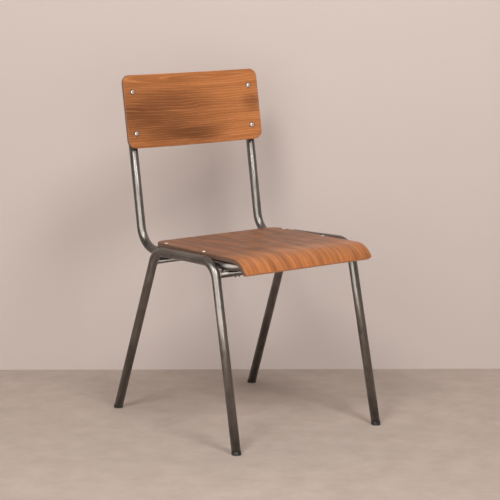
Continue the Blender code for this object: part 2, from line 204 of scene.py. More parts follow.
scene = bpy.context.scene
camera = bpy.data.objects.new("camera", bpy.data.cameras.new("camera"))
camera.data.lens = LENS
camera.data.sensor_width = 36
camera.matrix_world = Matrix.Translation(VIEW_AIM + view_back * VIEW_DISTANCE) @ Matrix(
    (rolled_right, rolled_up, view_back)
).transposed().to_4x4()
scene.collection.objects.link(camera)
scene.camera = camera
print("camera at", [round(v, 3) for v in camera.matrix_world.translation])

# %% [markdown]
# ## Building node trees
#
# Materials and Geometry Nodes are both trees of nodes. Small helpers keep the cells that follow
# short: one adds a node and fills in or wires its inputs, one starts a group with named sockets,
# one puts a finished group into a material, and the rest each add one often used node.

# %% Helpers for node trees
FLOAT = "NodeSocketFloat"
INTEGER = "NodeSocketInt"
VECTOR = "NodeSocketVector"
GEOMETRY = "NodeSocketGeometry"
MATERIAL = "NodeSocketMaterial"


def fill(tree, node, inputs):
    """Sets inputs of a node, by name or number, to values, or wires them to sockets."""
    for name, value in inputs.items():
        if isinstance(value, bpy.types.NodeSocket):
            tree.links.new(value, node.inputs[name])
        else:
            node.inputs[name].default_value = value
    return node


def add(tree, kind, inputs=None, **settings):
    """Adds a node with its settings and fills its inputs."""
    made = tree.nodes.new(kind)
    for name, value in settings.items():
        setattr(made, name, value)
    return fill(tree, made, inputs or {})


def new_tree(name, kind, inputs, outputs):
    """Starts a group. Each row is a name, a socket type and, if there is one, a default."""
    tree = bpy.data.node_groups.new(name, kind)
    for rows, direction in ((inputs, "INPUT"), (outputs, "OUTPUT")):
        for label, socket_type, *default in rows:
            made = tree.interface.new_socket(label, in_out=direction, socket_type=socket_type)
            if default:
                made.default_value = default[0]
    return tree, tree.nodes.new("NodeGroupInput"), tree.nodes.new("NodeGroupOutput")


def place_group(tree, group, inputs):
    """Puts a shader group into a material and fills its inputs."""
    made = tree.nodes.new("ShaderNodeGroup")
    made.node_tree = group
    return fill(tree, made, inputs)


def sums(tree, operation, a, b=0.0, c=0.0, clamp=False):
    """One Math node; returns its result."""
    made = add(tree, "ShaderNodeMath", {0: a, 1: b, 2: c}, operation=operation, use_clamp=clamp)
    return made.outputs[0]


def times(tree, a, b):
    return sums(tree, "MULTIPLY", a, b)


def plus(tree, a, b):
    return sums(tree, "ADD", a, b)


def minus(tree, a, b):
    return sums(tree, "SUBTRACT", a, b)


def remap(tree, value, low, high, to_low=0.0, to_high=1.0, smooth=False):
    """A value between low and high becomes one between to_low and to_high, and no further."""
    made = add(tree, "ShaderNodeMapRange", {0: value, 1: low, 2: high, 3: to_low, 4: to_high})
    made.interpolation_type = "SMOOTHSTEP" if smooth else "LINEAR"
    return made.outputs[0]


def mix(tree, factor, a, b, blend="MIX"):
    """Mixes two colours, each a socket or three numbers; returns the colour."""
    a, b = [c if isinstance(c, bpy.types.NodeSocket) else (*c, 1.0) for c in (a, b)]
    made = add(tree, "ShaderNodeMix", data_type="RGBA", blend_type=blend)
    return fill(tree, made, {0: factor, 6: a, 7: b}).outputs[2]


def shade(tree, colour, value):
    """The colour multiplied by a value."""
    grey = add(tree, "ShaderNodeCombineColor", {0: value, 1: value, 2: value}).outputs[0]
    return mix(tree, 1.0, colour, grey, "MULTIPLY")


def noise(tree, vector, scale, detail=3.0, roughness=0.5, distortion=0.0):
    """A noise between 0 and 1 at points of vector."""
    values = {"Vector": vector, "Scale": scale, "Detail": detail, "Roughness": roughness}
    values["Distortion"] = distortion
    return add(tree, "ShaderNodeTexNoise", values).outputs["Fac"]


def stretched(tree, vector, scale):
    """The vector scaled, for a pattern that is longer one way than another."""
    return add(tree, "ShaderNodeMapping", {"Vector": vector, "Scale": scale}).outputs["Vector"]


# %% [markdown]
# ## Wear that every finish shares
#
# Anything that is handled and stood on gathers the same things: fine dust on what faces up, a
# haze of fingers and cloths that changes the gloss, and short scratches. One shader group works
# them out from the piece's own coordinates; each material decides how strongly they show.

# %% Shader group: use and dust
def make_use_group():
    """Dust, Haze and Scratches, each a mask between 0 and 1."""
    tree, start, end = new_tree(
        "use_and_dust", "ShaderNodeTree",
        [("Vector", VECTOR), ("Scratch density", FLOAT, 0.5)],
        [("Dust", FLOAT), ("Haze", FLOAT),
         ("Scratches", FLOAT)],
    )
    point = start.outputs["Vector"]
    normal = add(tree, "ShaderNodeNewGeometry").outputs["Normal"]
    upward = add(tree, "ShaderNodeSeparateXYZ", {0: normal}).outputs["Z"]
    specks = remap(tree, noise(tree, point, 620.0, 4.0, 0.7), 0.52, 0.78)
    drift = remap(tree, noise(tree, point, 9.0, 3.0), 0.35, 0.75)
    dust = times(tree, times(tree, specks, drift), remap(tree, upward, 0.35, 0.95))
    haze = noise(tree, point, 26.0, 5.0, 0.62, 0.4)
    turned_point = add(tree, "ShaderNodeMapping", {"Vector": point, "Rotation": (0.5, 0.7, 0.3),
                                                   "Scale": (1.0, 22.0, 7.0)}).outputs["Vector"]
    lines = noise(tree, turned_point, 46.0, 1.0, 0.4, 0.15)
    thin = remap(tree, sums(tree, "ABSOLUTE", minus(tree, lines, 0.5)), 0.0, 0.006, 1.0, 0.0)
    where = remap(tree, noise(tree, point, 34.0, 2.0), 0.72, 0.56, 0.0, 1.0)
    scratches = times(tree, thin, minus(tree, 1.0, where))
    scratches = times(tree, scratches, start.outputs["Scratch density"])
    fill(tree, end, {"Dust": dust, "Haze": haze, "Scratches": scratches})
    return tree


use_group = make_use_group()
print("group", use_group.name, "with", len(use_group.nodes), "nodes")

# %% [markdown]
# ## Lacquered steel
#
# The tube is left as it comes from the mill: dark grey, with a soft lengthwise drawing pattern
# and cloudy oxide patches, then sprayed with clear lacquer. The lengthwise lines have to follow
# the bends, so the sweep that makes a tube stores an attribute called "tube": how far along the
# axis a point is, and where it is across the section. The group reads that attribute's value.

# %% Shader group: drawn tube
def make_drawn_group():
    """Cloud, Lines and Pits, masks between 0 and 1, of cold-drawn steel."""
    tree, start, end = new_tree(
        "drawn_steel", "ShaderNodeTree",
        [("Tube", VECTOR), ("Cloud scale", FLOAT, 60.0),
         ("Line scale", FLOAT, 900.0)],
        [("Cloud", FLOAT), ("Lines", FLOAT),
         ("Pits", FLOAT)],
    )
    point = start.outputs["Tube"]
    long_way = stretched(tree, point, (0.35, 1.0, 1.0))
    cloud = noise(tree, long_way, start.outputs["Cloud scale"], 6.0, 0.62, 0.6)
    drawn = stretched(tree, point, (0.018, 1.0, 1.0))
    lines = noise(tree, drawn, start.outputs["Line scale"], 2.0, 0.5)
    pits = remap(tree, noise(tree, point, 520.0, 2.0, 0.5), 0.66, 0.74)
    fill(tree, end, {"Cloud": cloud, "Lines": lines, "Pits": pits})
    return tree


drawn_group = make_drawn_group()


# %% Materials: steel and welds
def spaced(values):
    """Keyword names turned into socket names."""
    return {label.replace("_", " "): value for label, value in values.items()}


def new_material(name, **constants):
    """A material with its Principled BSDF's own constants set."""
    made = bpy.data.materials.new(name)
    made.use_nodes = True
    shader = made.node_tree.nodes["Principled BSDF"]
    fill(made.node_tree, shader, spaced(constants))
    return made, made.node_tree, shader


def wire(tree, shader, height=None, bump=(0.0, 0.0), **sockets):
    """Feeds sockets of the shader, and a bump of (strength, depth) if a height is given."""
    fill(tree, shader, spaced(sockets))
    if height is not None:
        relief = add(tree, "ShaderNodeBump", {"Height": height, "Strength": bump[0], "Distance": bump[1]})
        fill(tree, shader, {"Normal": relief.outputs["Normal"]})


def attribute(tree, name):
    """A vector attribute stored on the piece's own points."""
    return add(tree, "ShaderNodeAttribute", attribute_name=name).outputs["Vector"]


def object_point(tree):
    """The piece's own coordinates."""
    return add(tree, "ShaderNodeTexCoord").outputs["Object"]


def make_steel():
    made, tree, shader = new_material("lacquered_steel", Metallic=1.0, Coat_Roughness=0.12, Coat_IOR=1.48)
    point = attribute(tree, "tube")
    drawn = place_group(tree, drawn_group, {"Tube": point}).outputs
    use = place_group(tree, use_group, {"Vector": point, "Scratch density": 0.5}).outputs
    base = mix(tree, remap(tree, drawn["Cloud"], 0.3, 0.7), STEEL_DARK, STEEL_LIGHT)
    base = shade(tree, base, remap(tree, drawn["Lines"], 0.3, 0.7, 0.82, 1.14))
    base = mix(tree, times(tree, drawn["Pits"], 0.5), base, STEEL_PIT)
    base = mix(tree, times(tree, use["Dust"], 0.35), base, DUST)
    rough = remap(tree, drawn["Cloud"], 0.25, 0.75, *STEEL_ROUGH)
    rough = plus(tree, rough, remap(tree, use["Haze"], 0.3, 0.75, -0.03, 0.07))
    rough = plus(tree, rough, times(tree, use["Scratches"], 0.15))
    coat = remap(tree, use["Haze"], 0.35, 0.7, *STEEL_COAT)
    height = plus(tree, times(tree, drawn["Lines"], 0.5), times(tree, drawn["Cloud"], 0.8))
    wire(tree, shader, height, STEEL_BUMP, Base_Color=base, Roughness=rough, Coat_Weight=coat)
    return made


def make_weld():
    """Filler metal, darker and heat-tinted, with a rippled skin."""
    made, tree, shader = new_material("weld_metal", Metallic=1.0)
    point = object_point(tree)
    mottle = noise(tree, point, 420.0, 4.0, 0.6)
    tint = mix(tree, remap(tree, mottle, 0.3, 0.7), WELD_DARK, WELD_LIGHT)
    spatter = remap(tree, noise(tree, point, 1400.0, 2.0), 0.6, 0.7)
    rough = remap(tree, mottle, 0.3, 0.7, 0.34, 0.55)
    wire(tree, shader, plus(tree, mottle, spatter), WELD_BUMP, Base_Color=tint, Roughness=rough)
    return made


STEEL_DARK = (0.132, 0.121, 0.110)
STEEL_LIGHT = (0.235, 0.218, 0.200)
STEEL_PIT = (0.07, 0.055, 0.045)
STEEL_ROUGH = (0.24, 0.38)
STEEL_COAT = (0.38, 0.16)            # weight of the lacquer where it is clear and where it is hazy
STEEL_BUMP = (0.5, 0.00002)          # strength, and depth in metres
WELD_DARK = (0.10, 0.09, 0.085)
WELD_LIGHT = (0.36, 0.34, 0.32)
WELD_BUMP = (0.6, 0.00010)
DUST = (0.42, 0.39, 0.35)

steel = make_steel()
weld_metal = make_weld()
print("materials:", steel.name, weld_metal.name)

# %% [markdown]
# ## Tubes
#
# Every tube is one rule: a path of straight runs with round bends, and a circle swept along it.
# That is what Geometry Nodes do well. The tree takes the path's corners as a mesh of points with
# a bend radius stored on each, rounds the corners, sweeps the circle, and stores the "tube"
# attribute for the steel. The wall comes afterwards from a Solidify modifier, which grows
# inwards, so the outside stays at its true size.

# %% Geometry Nodes: bent tube
def make_tube_tree():
    tree, start, end = new_tree(
        "bent_tube", "GeometryNodeTree",
        [("Corners", GEOMETRY), ("Radius", FLOAT, 0.01),
         ("Bend steps", INTEGER, 16), ("Sides", INTEGER, 48),
         ("Material", MATERIAL)],
        [("Tube", GEOMETRY)],
    )
    bend = add(tree, "GeometryNodeInputNamedAttribute", {"Name": "bend"}, data_type="FLOAT")
    path = add(tree, "GeometryNodeMeshToCurve", {"Mesh": start.outputs["Corners"]})
    path = add(tree, "GeometryNodeFilletCurve",
               {"Curve": path.outputs[0], "Count": start.outputs["Bend steps"],
                "Radius": bend.outputs[0], "Limit Radius": True}, mode="POLY")
    run = add(tree, "GeometryNodeSplineParameter").outputs["Length"]
    path = add(tree, "GeometryNodeStoreNamedAttribute",
               {"Geometry": path.outputs[0], "Name": "run", "Value": run},
               data_type="FLOAT", domain="POINT")
    ring = add(tree, "GeometryNodeCurvePrimitiveCircle",
               {"Resolution": start.outputs["Sides"], "Radius": start.outputs["Radius"]},
               mode="RADIUS")
    across = add(tree, "GeometryNodeInputPosition").outputs[0]
    ring = add(tree, "GeometryNodeStoreNamedAttribute",
               {"Geometry": ring.outputs[0], "Name": "across", "Value": across},
               data_type="FLOAT_VECTOR", domain="POINT")
    skin = add(tree, "GeometryNodeCurveToMesh",
               {"Curve": path.outputs[0], "Profile Curve": ring.outputs[0]})
    run = add(tree, "GeometryNodeInputNamedAttribute", {"Name": "run"}, data_type="FLOAT").outputs[0]
    across = add(tree, "GeometryNodeInputNamedAttribute", {"Name": "across"}, data_type="FLOAT_VECTOR")
    across = add(tree, "ShaderNodeSeparateXYZ", {0: across.outputs[0]})
    where = add(tree, "ShaderNodeCombineXYZ",
                {"X": run, "Y": across.outputs["X"], "Z": across.outputs["Y"]})
    skin = add(tree, "GeometryNodeStoreNamedAttribute",
               {"Geometry": skin.outputs[0], "Name": "tube", "Value": where.outputs[0]},
               data_type="FLOAT_VECTOR", domain="POINT")
    skin = add(tree, "GeometryNodeSetShadeSmooth", {"Geometry": skin.outputs[0]})
    skin = add(tree, "GeometryNodeRealizeInstances", {"Geometry": skin.outputs[0]})
    skin = add(tree, "GeometryNodeSetMaterial",
               {"Geometry": skin.outputs[0], "Material": start.outputs["Material"]})
    tree.links.new(skin.outputs[0], end.inputs[0])
    return tree


def grow(name, source_mesh, tree, **values):
    """Runs a Geometry Nodes tree on a mesh once and returns the result as a plain object."""
    seed = bpy.data.objects.new(name + "_seed", source_mesh)
    scene.collection.objects.link(seed)
    modifier = seed.modifiers.new("grow", "NODES")
    modifier.node_group = tree
    sockets = {s.name: s.identifier for s in tree.interface.items_tree if s.in_out == "INPUT"}
    for label, value in spaced(values).items():
        modifier[sockets[label]] = value
    graph = bpy.context.evaluated_depsgraph_get()
    mesh = bpy.data.meshes.new_from_object(seed.evaluated_get(graph), depsgraph=graph)
    bpy.data.objects.remove(seed)
    mesh.name = name
    piece = bpy.data.objects.new(name, mesh)
    scene.collection.objects.link(piece)
    return piece


def path_mesh(points, bends=None, closed=False):
    """Points joined in a row, with a bend radius on each."""
    mesh = bpy.data.meshes.new("path")
    edges = [(k, k + 1) for k in range(len(points) - 1)]
    if closed:
        edges.append((len(points) - 1, 0))
    mesh.from_pydata([tuple(p) for p in points], edges, [])
    if bends is not None:
        stored = mesh.attributes.new("bend", "FLOAT", "POINT")
        stored.data.foreach_set("value", [0.0] + list(bends) + [0.0])
    return mesh


tube_tree = make_tube_tree()


def box_error(piece, nodes):
    """The largest difference, in mm, between a piece's box and that of the nodes it replaces."""
    graph = bpy.context.evaluated_depsgraph_get()
    mesh = piece.evaluated_get(graph).to_mesh()
    worst = 0.0
    for axis in range(3):
        places = [v.co[axis] for v in mesh.vertices]
        low = min(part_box(n)[0][axis] for n in nodes)
        high = max(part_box(n)[1][axis] for n in nodes)
        worst = max(worst, abs(min(places) - low), abs(max(places) - high))
    return round(worst * 1000, 2)


def finish_piece(piece, slot, *nodes):
    """Fixes the piece to the chair's one body and lets it stand for its CAD nodes."""
    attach(piece, "root")
    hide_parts(*nodes)
    print(f"{piece.name}: {len(piece.data.polygons)} faces, box within {box_error(piece, nodes)} mm")


# %% [markdown]
# The seat and back frame is a single tube: up one side of the back, along under the seat, across
# under its front edge and back again. Each leg frame is an upside-down U. Their ends are open,
# and plugs close them later.

# %% Bent tubes
TUBE_FACETS = 48
BEND_FACETS = 20


def add_wall(piece):
    wall = piece.modifiers.new("wall", "SOLIDIFY")
    wall.thickness = TUBE_WALL
    wall.offset = -1.0
    wall.use_even_offset = False


def bent_tube(name, corners, bends):
    piece = grow(name, path_mesh(corners, bends), tube_tree, Radius=TUBE_R, Bend_steps=BEND_FACETS,
                 Sides=TUBE_FACETS, Material=steel)
    add_wall(piece)
    return piece


frame_corners = [
    upright_point(RAIL_X, UPRIGHT_TOP),
    frame_corner(1),
    rail_point(RAIL_X, FRONT_RAIL_Y),
    rail_point(-RAIL_X, FRONT_RAIL_Y),
    frame_corner(-1),
    upright_point(-RAIL_X, UPRIGHT_TOP),
]
frame_bends = (REAR_BEND, FRONT_BEND, FRONT_BEND, REAR_BEND)
seat_back_tube = bent_tube("seat_back_tube", frame_corners, frame_bends)
finish_piece(seat_back_tube, "steel", "seat_back_frame")

for side_name, side in SIDES.items():
    foot_z = FOOT_HEAD_H + GAP
    leg_corners = [
        leg_point(side, 0, foot_z),
        leg_corner(side, 0),
        leg_corner(side, 1),
        leg_point(side, 1, foot_z),
    ]
    leg_tube = bent_tube(f"leg_tube_{side_name}", leg_corners, LEG_BEND)
    finish_piece(leg_tube, "steel", f"leg_frame_{side_name}")

# %% [markdown]
# A cross tube is cut to a hollow mouth at each end, so that it sits against the round leg. The
# mouth is found by sliding each point of the end ring along the tube until it lies on the leg's
# surface; that ring of points is kept, because the weld bead runs along it.

# %% Cross tubes with shaped ends
def meet_cylinder(point, direction, axis_point, axis_direction, radius):
    """How far along direction, from point, the cylinder's near surface is."""
    across = direction - axis_direction * direction.dot(axis_direction)
    offset = point - axis_point
    offset -= axis_direction * offset.dot(axis_direction)
    a = across.dot(across)
    b = 2 * across.dot(offset)
    c = offset.dot(offset) - radius ** 2
    return (-b - math.sqrt(max(b * b - 4 * a * c, 0.0))) / (2 * a)


def shape_ends(piece, end):
    """Slides both end rings onto the legs and returns them as lists of points in order."""
    z = CROSS_Z[end]
    mesh = piece.data
    middle = leg_point(1, end, z)
    rings = {}
    for side in (1, -1):
        on_leg = leg_point(side, end, z)
        leg_way = (leg_point(side, end, 0) - on_leg).normalized()
        outward = Vector((side, 0, 0))
        ring = [v for v in mesh.vertices if v.co.x * side > middle.x / 2]
        for v in ring:
            inner = Vector((0, v.co.y, v.co.z))
            v.co = inner + outward * meet_cylinder(inner, outward, on_leg, leg_way, TUBE_R + GAP)
        ring.sort(key=lambda v: math.atan2(v.co.z - on_leg.z, v.co.y - on_leg.y))
        rings[side] = [v.co.copy() for v in ring]
    return rings


mouths = {}
for end, end_name in enumerate(("front", "rear")):
    axis_ends = [leg_point(side, end, CROSS_Z[end]) for side in (1, -1)]
    cross_tube = grow(f"cross_tube_{end_name}", path_mesh(axis_ends, ()), tube_tree, Radius=CROSS_R,
                      Bend_steps=1, Sides=TUBE_FACETS, Material=steel)
    mouths[end] = shape_ends(cross_tube, end)
    add_wall(cross_tube)
    finish_piece(cross_tube, "steel", f"{end_name}_cross_tube")

# %% [markdown]
# ## Welds
#
# A weld bead is a row of overlapping puddles: a round bar along the joint whose thickness rises
# and falls with each puddle. The tree resamples the joint's line by length, makes the radius
# ripple along it, lets it wander a little with a fixed seed, and sweeps a circle. Beads run
# round the mouths of the cross tubes, and in short runs where the seat rails lie on them.

# %% Geometry Nodes: weld bead
def make_bead_tree():
    tree, start, end = new_tree(
        "weld_bead", "GeometryNodeTree",
        [("Joint", GEOMETRY), ("Bead radius", FLOAT, 0.002),
         ("Puddle", FLOAT, 0.002), ("Ripple", FLOAT, 0.16),
         ("Seed", FLOAT, 1.0), ("Closed", "NodeSocketBool", False),
         ("Material", MATERIAL)],
        [("Bead", GEOMETRY)],
    )
    line = add(tree, "GeometryNodeMeshToCurve", {"Mesh": start.outputs["Joint"]})
    step = sums(tree, "DIVIDE", start.outputs["Puddle"], 6.0)
    line = add(tree, "GeometryNodeResampleCurve", {"Curve": line.outputs[0], "Length": step}, mode="LENGTH")
    run = add(tree, "GeometryNodeSplineParameter").outputs["Length"]
    phase = times(tree, sums(tree, "DIVIDE", run, start.outputs["Puddle"]), math.tau)
    ripple = times(tree, sums(tree, "SINE", phase), start.outputs["Ripple"])
    place = add(tree, "GeometryNodeInputPosition").outputs[0]
    wander = add(tree, "ShaderNodeTexNoise", {"Vector": place, "W": start.outputs["Seed"], "Scale": 240.0},
                 noise_dimensions="4D").outputs["Fac"]
    wander = remap(tree, wander, 0.3, 0.7, 0.82, 1.18)
    size = times(tree, plus(tree, 1.0, ripple), wander)
    ends = add(tree, "GeometryNodeSplineParameter").outputs["Factor"]
    near_end = sums(tree, "MINIMUM", ends, minus(tree, 1.0, ends))
    taper = remap(tree, near_end, 0.0, 0.12, 0.45, 1.0, smooth=True)
    taper = sums(tree, "MAXIMUM", taper, start.outputs["Closed"])
    size = times(tree, size, taper)
    ring = add(tree, "GeometryNodeCurvePrimitiveCircle",
               {"Resolution": 12, "Radius": start.outputs["Bead radius"]}, mode="RADIUS")
    bead = add(tree, "GeometryNodeCurveToMesh",
               {"Curve": line.outputs[0], "Profile Curve": ring.outputs[0], "Scale": size,
                "Fill Caps": True})
    bead = add(tree, "GeometryNodeSetShadeSmooth", {"Geometry": bead.outputs[0]})
    bead = add(tree, "GeometryNodeRealizeInstances", {"Geometry": bead.outputs[0]})
    bead = add(tree, "GeometryNodeSetMaterial",
               {"Geometry": bead.outputs[0], "Material": start.outputs["Material"]})
    tree.links.new(bead.outputs[0], end.inputs[0])
    return tree


bead_tree = make_bead_tree()
BEAD_R = 0.0016
PUDDLE = 0.0022                      # from one puddle of the bead to the next


# %% Weld beads
def lay_bead(name, points, seed, closed, radius=BEAD_R):
    bead = grow(name, path_mesh(points, None, closed), bead_tree, Bead_radius=radius, Puddle=PUDDLE,
                Seed=seed, Closed=closed, Material=weld_metal)
    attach(bead, "root")
    print(f"{name}: {len(bead.data.polygons)} faces")


RAIL_BEAD_R = BEAD_R * 1.1
RAIL_BEAD_HALF = 0.0065               # half the length of a bead under a seat rail
GROOVE_Y = CROSS_R * 0.62             # where such a bead lies, from the cross tube's axis
GROOVE_Z = CROSS_R * 0.78
for end, end_name in enumerate(("front", "rear")):
    for side_name, side in SIDES.items():
        lay_bead(f"weld_leg_{side_name}_{end_name}", mouths[end][side], 3.0 * end + side, True)
        cross_axis = leg_point(side, end, CROSS_Z[end])
        for way, way_name in ((-1, "ahead"), (1, "behind")):
            y = cross_axis.y + way * GROOVE_Y
            rail = rail_point(side * RAIL_X, y)
            groove = (rail.z - TUBE_R + cross_axis.z + GROOVE_Z) / 2
            line = [Vector((rail.x + x, y, groove)) for x in (-RAIL_BEAD_HALF, 0.0, RAIL_BEAD_HALF)]
            bead_name = f"weld_rail_{side_name}_{end_name}_{way_name}"
            lay_bead(bead_name, line, 7.0 * end + side + way, False, RAIL_BEAD_R)

# %% [markdown]
# ## Moulded plywood
#
# The boards are veneers glued in a curved press, sawn to outline, their edges sanded round and
# lacquered. A board is built flat, in three numbers: across, along, and depth below the face.
# Rows of points run across it; each row ends on the outline, the outline is carried round the
# sanded arris and down the edge, and only then is every point bent onto the press's shape. The
# flat numbers are kept as the attribute "board", so the figure rolls over the lip with the wood
# and the glued layers show on the edges.

# %% Board builder
ARRIS = 0.0009                        # radius of the sanded edge
ARRIS_STEPS = 4
CORNER_STEPS = 12


def quarter_turn(steps):
    """Angles from 0 to a right angle."""
    return [math.pi / 2 * k / steps for k in range(steps + 1)]


def edge_profile(thickness):
    """(inset from the outline, depth) round the edge, from the face to the underside."""
    top = [(ARRIS * (1 - math.sin(t)), ARRIS * (1 - math.cos(t))) for t in quarter_turn(ARRIS_STEPS)]
    bottom = [(inset, thickness - depth) for inset, depth in reversed(top)]
    return top + bottom


def outline_rows(length, half_width, first_corner, last_corner, between):
    """(half width, along, outward direction) for each row, with round corners at both ends."""
    turns = quarter_turn(CORNER_STEPS)
    rows = []
    for t in turns:
        rows.append((half_width - first_corner * (1 - math.sin(t)), first_corner * (1 - math.cos(t)),
                     Vector((math.sin(t), -math.cos(t)))))
    rows += [(half_width, s, Vector((1, 0))) for s in between]
    for t in reversed(turns):
        rows.append((half_width - last_corner * (1 - math.sin(t)), length - last_corner * (1 - math.cos(t)),
                     Vector((math.sin(t), math.cos(t)))))
    return rows


def across_steps(count, edge):
    """Shares of the half width, from -1 to 1, with one extra column close to each side."""
    inner = [-1 + edge + (2 - 2 * edge) * k / count for k in range(count + 1)]
    return [-1.0] + inner + [1.0]


def make_board(name, rows, columns, thickness, place, board_material):
    """A closed board; place turns (across, along, depth) into a point."""
    profile = edge_profile(thickness)
    bm = bmesh.new()
    board = bm.verts.layers.float_vector.new("board")
    last = len(rows) - 1

    def vertex(across, along, depth):
        v = bm.verts.new(place(across, along, depth))
        v[board] = (across, along, depth)
        return v

    def grid(inset, depth, whole):
        """The rows at one inset; without whole, only the ring round the outside."""
        made = []
        for number, (half, along, out) in enumerate(rows):
            row_half = half - out.x * inset
            row_along = along - out.y * inset
            on_end = number in (0, last)
            row = []
            for k, share in enumerate(columns):
                if whole or on_end or k in (0, len(columns) - 1):
                    row.append(vertex(share * row_half, row_along, depth))
                else:
                    row.append(None)
            made.append(row)
        return made

    def ring_of(made):
        ring = list(made[0])
        ring += [row[-1] for row in made[1:-1]]
        ring += list(reversed(made[-1]))
        ring += [row[0] for row in reversed(made[1:-1])]
        return ring

    grids = [grid(inset, depth, k in (0, len(profile) - 1)) for k, (inset, depth) in enumerate(profile)]
    for made, flip in ((grids[0], False), (grids[-1], True)):
        for row_a, row_b in zip(made, made[1:]):
            for k in range(len(columns) - 1):
                corners = [row_a[k], row_a[k + 1], row_b[k + 1], row_b[k]]
                bm.faces.new(reversed(corners) if flip else corners)
    rings = [ring_of(made) for made in grids]
    for ring_a, ring_b in zip(rings, rings[1:]):
        for k in range(len(ring_a)):
            n = (k + 1) % len(ring_a)
            bm.faces.new((ring_a[k], ring_b[k], ring_b[n], ring_a[n]))
    bmesh.ops.recalc_face_normals(bm, faces=bm.faces)
    mesh = bpy.data.meshes.new(name)
    bm.to_mesh(mesh)
    bm.free()
    mesh.shade_smooth()
    mesh.materials.append(board_material)
    piece = bpy.data.objects.new(name, mesh)
    scene.collection.objects.link(piece)
    return piece


# %% [markdown]
# ## Veneer
#
# A plain-sliced veneer shows the tree's rings as nested arches, crossed lengthwise by fine
# fibres and by short dark pores. The group takes a point whose X runs along the grain. Rings
# come from the distance to a long, thin ellipse, bent by noise, so they close into arches near
# its end and run straight beside it. It gives separate masks, and each board colours them.

# %% Shader group: veneer figure
def make_veneer_group():
    tree, start, end = new_tree(
        "veneer_figure", "ShaderNodeTree",
        [("Grain", VECTOR), ("Heart", VECTOR, (0, 0, 0)),
         ("Ring width", FLOAT, 0.012), ("Slenderness", FLOAT, 0.08),
         ("Waviness", FLOAT, 0.010)],
        [("Rings", FLOAT), ("Bands", FLOAT),
         ("Fibres", FLOAT), ("Pores", FLOAT),
         ("Pale lines", FLOAT)],
    )
    grain = start.outputs["Grain"]
    sway = noise(tree, stretched(tree, grain, (0.28, 1.1, 1.0)), 11.0, 2.0, 0.5)
    sway = times(tree, minus(tree, sway, 0.5), start.outputs["Waviness"])
    small = noise(tree, stretched(tree, grain, (0.09, 1.3, 1.0)), 60.0, 2.0, 0.45)
    small = times(tree, minus(tree, small, 0.5), times(tree, start.outputs["Waviness"], 0.10))
    swayed = add(tree, "ShaderNodeCombineXYZ", {"Y": plus(tree, sway, small)}).outputs[0]
    bent = add(tree, "ShaderNodeVectorMath", {0: grain, 1: swayed}, operation="ADD").outputs[0]
    offset = add(tree, "ShaderNodeVectorMath", {0: bent, 1: start.outputs["Heart"]}, operation="SUBTRACT")
    parts = add(tree, "ShaderNodeSeparateXYZ", {0: offset.outputs[0]})
    long_side = times(tree, parts.outputs["X"], start.outputs["Slenderness"])
    oval = add(tree, "ShaderNodeCombineXYZ", {"X": long_side, "Y": parts.outputs["Y"]}).outputs[0]
    distance = add(tree, "ShaderNodeVectorMath", {0: oval}, operation="LENGTH").outputs["Value"]
    turns = sums(tree, "DIVIDE", distance, start.outputs["Ring width"])
    saw = sums(tree, "FRACT", turns)
    rings = times(tree, remap(tree, saw, 0.0, 0.78, smooth=True), remap(tree, saw, 1.0, 0.86))
    seam = sums(tree, "ABSOLUTE", minus(tree, saw, 0.10))
    broken = noise(tree, stretched(tree, bent, (0.07, 1.0, 1.0)), 150.0, 2.0, 0.5)
    on_seam = remap(tree, seam, 0.03, 0.11, 1.0, 0.0, smooth=True)
    pale_lines = times(tree, on_seam, remap(tree, broken, 0.40, 0.62))
    bands = noise(tree, stretched(tree, bent, (0.05, 1.0, 1.0)), 55.0, 2.0, 0.55)
    fine = noise(tree, stretched(tree, bent, (0.030, 1.0, 1.0)), 620.0, 3.0, 0.6)
    finest = noise(tree, stretched(tree, bent, (0.045, 1.0, 1.0)), 1900.0, 2.0, 0.6)
    fibres = sums(tree, "MULTIPLY_ADD", finest, 0.4, times(tree, fine, 0.6))
    pore = noise(tree, stretched(tree, bent, (0.085, 1.0, 1.0)), 1150.0, 1.0, 0.4)
    pores = remap(tree, pore, 0.66, 0.73)
    fill(tree, end, {"Rings": rings, "Bands": bands, "Fibres": fibres,
                     "Pores": pores, "Pale lines": pale_lines})
    return tree


veneer_group = make_veneer_group()

# %% [markdown]
# The sawn edge of plywood shows its layers: veneers whose fibres run along the edge are smooth
# and pale, those cut across are darker and open, with a thin glue line between. The group takes
# the depth below the face and returns which kind of layer is there.

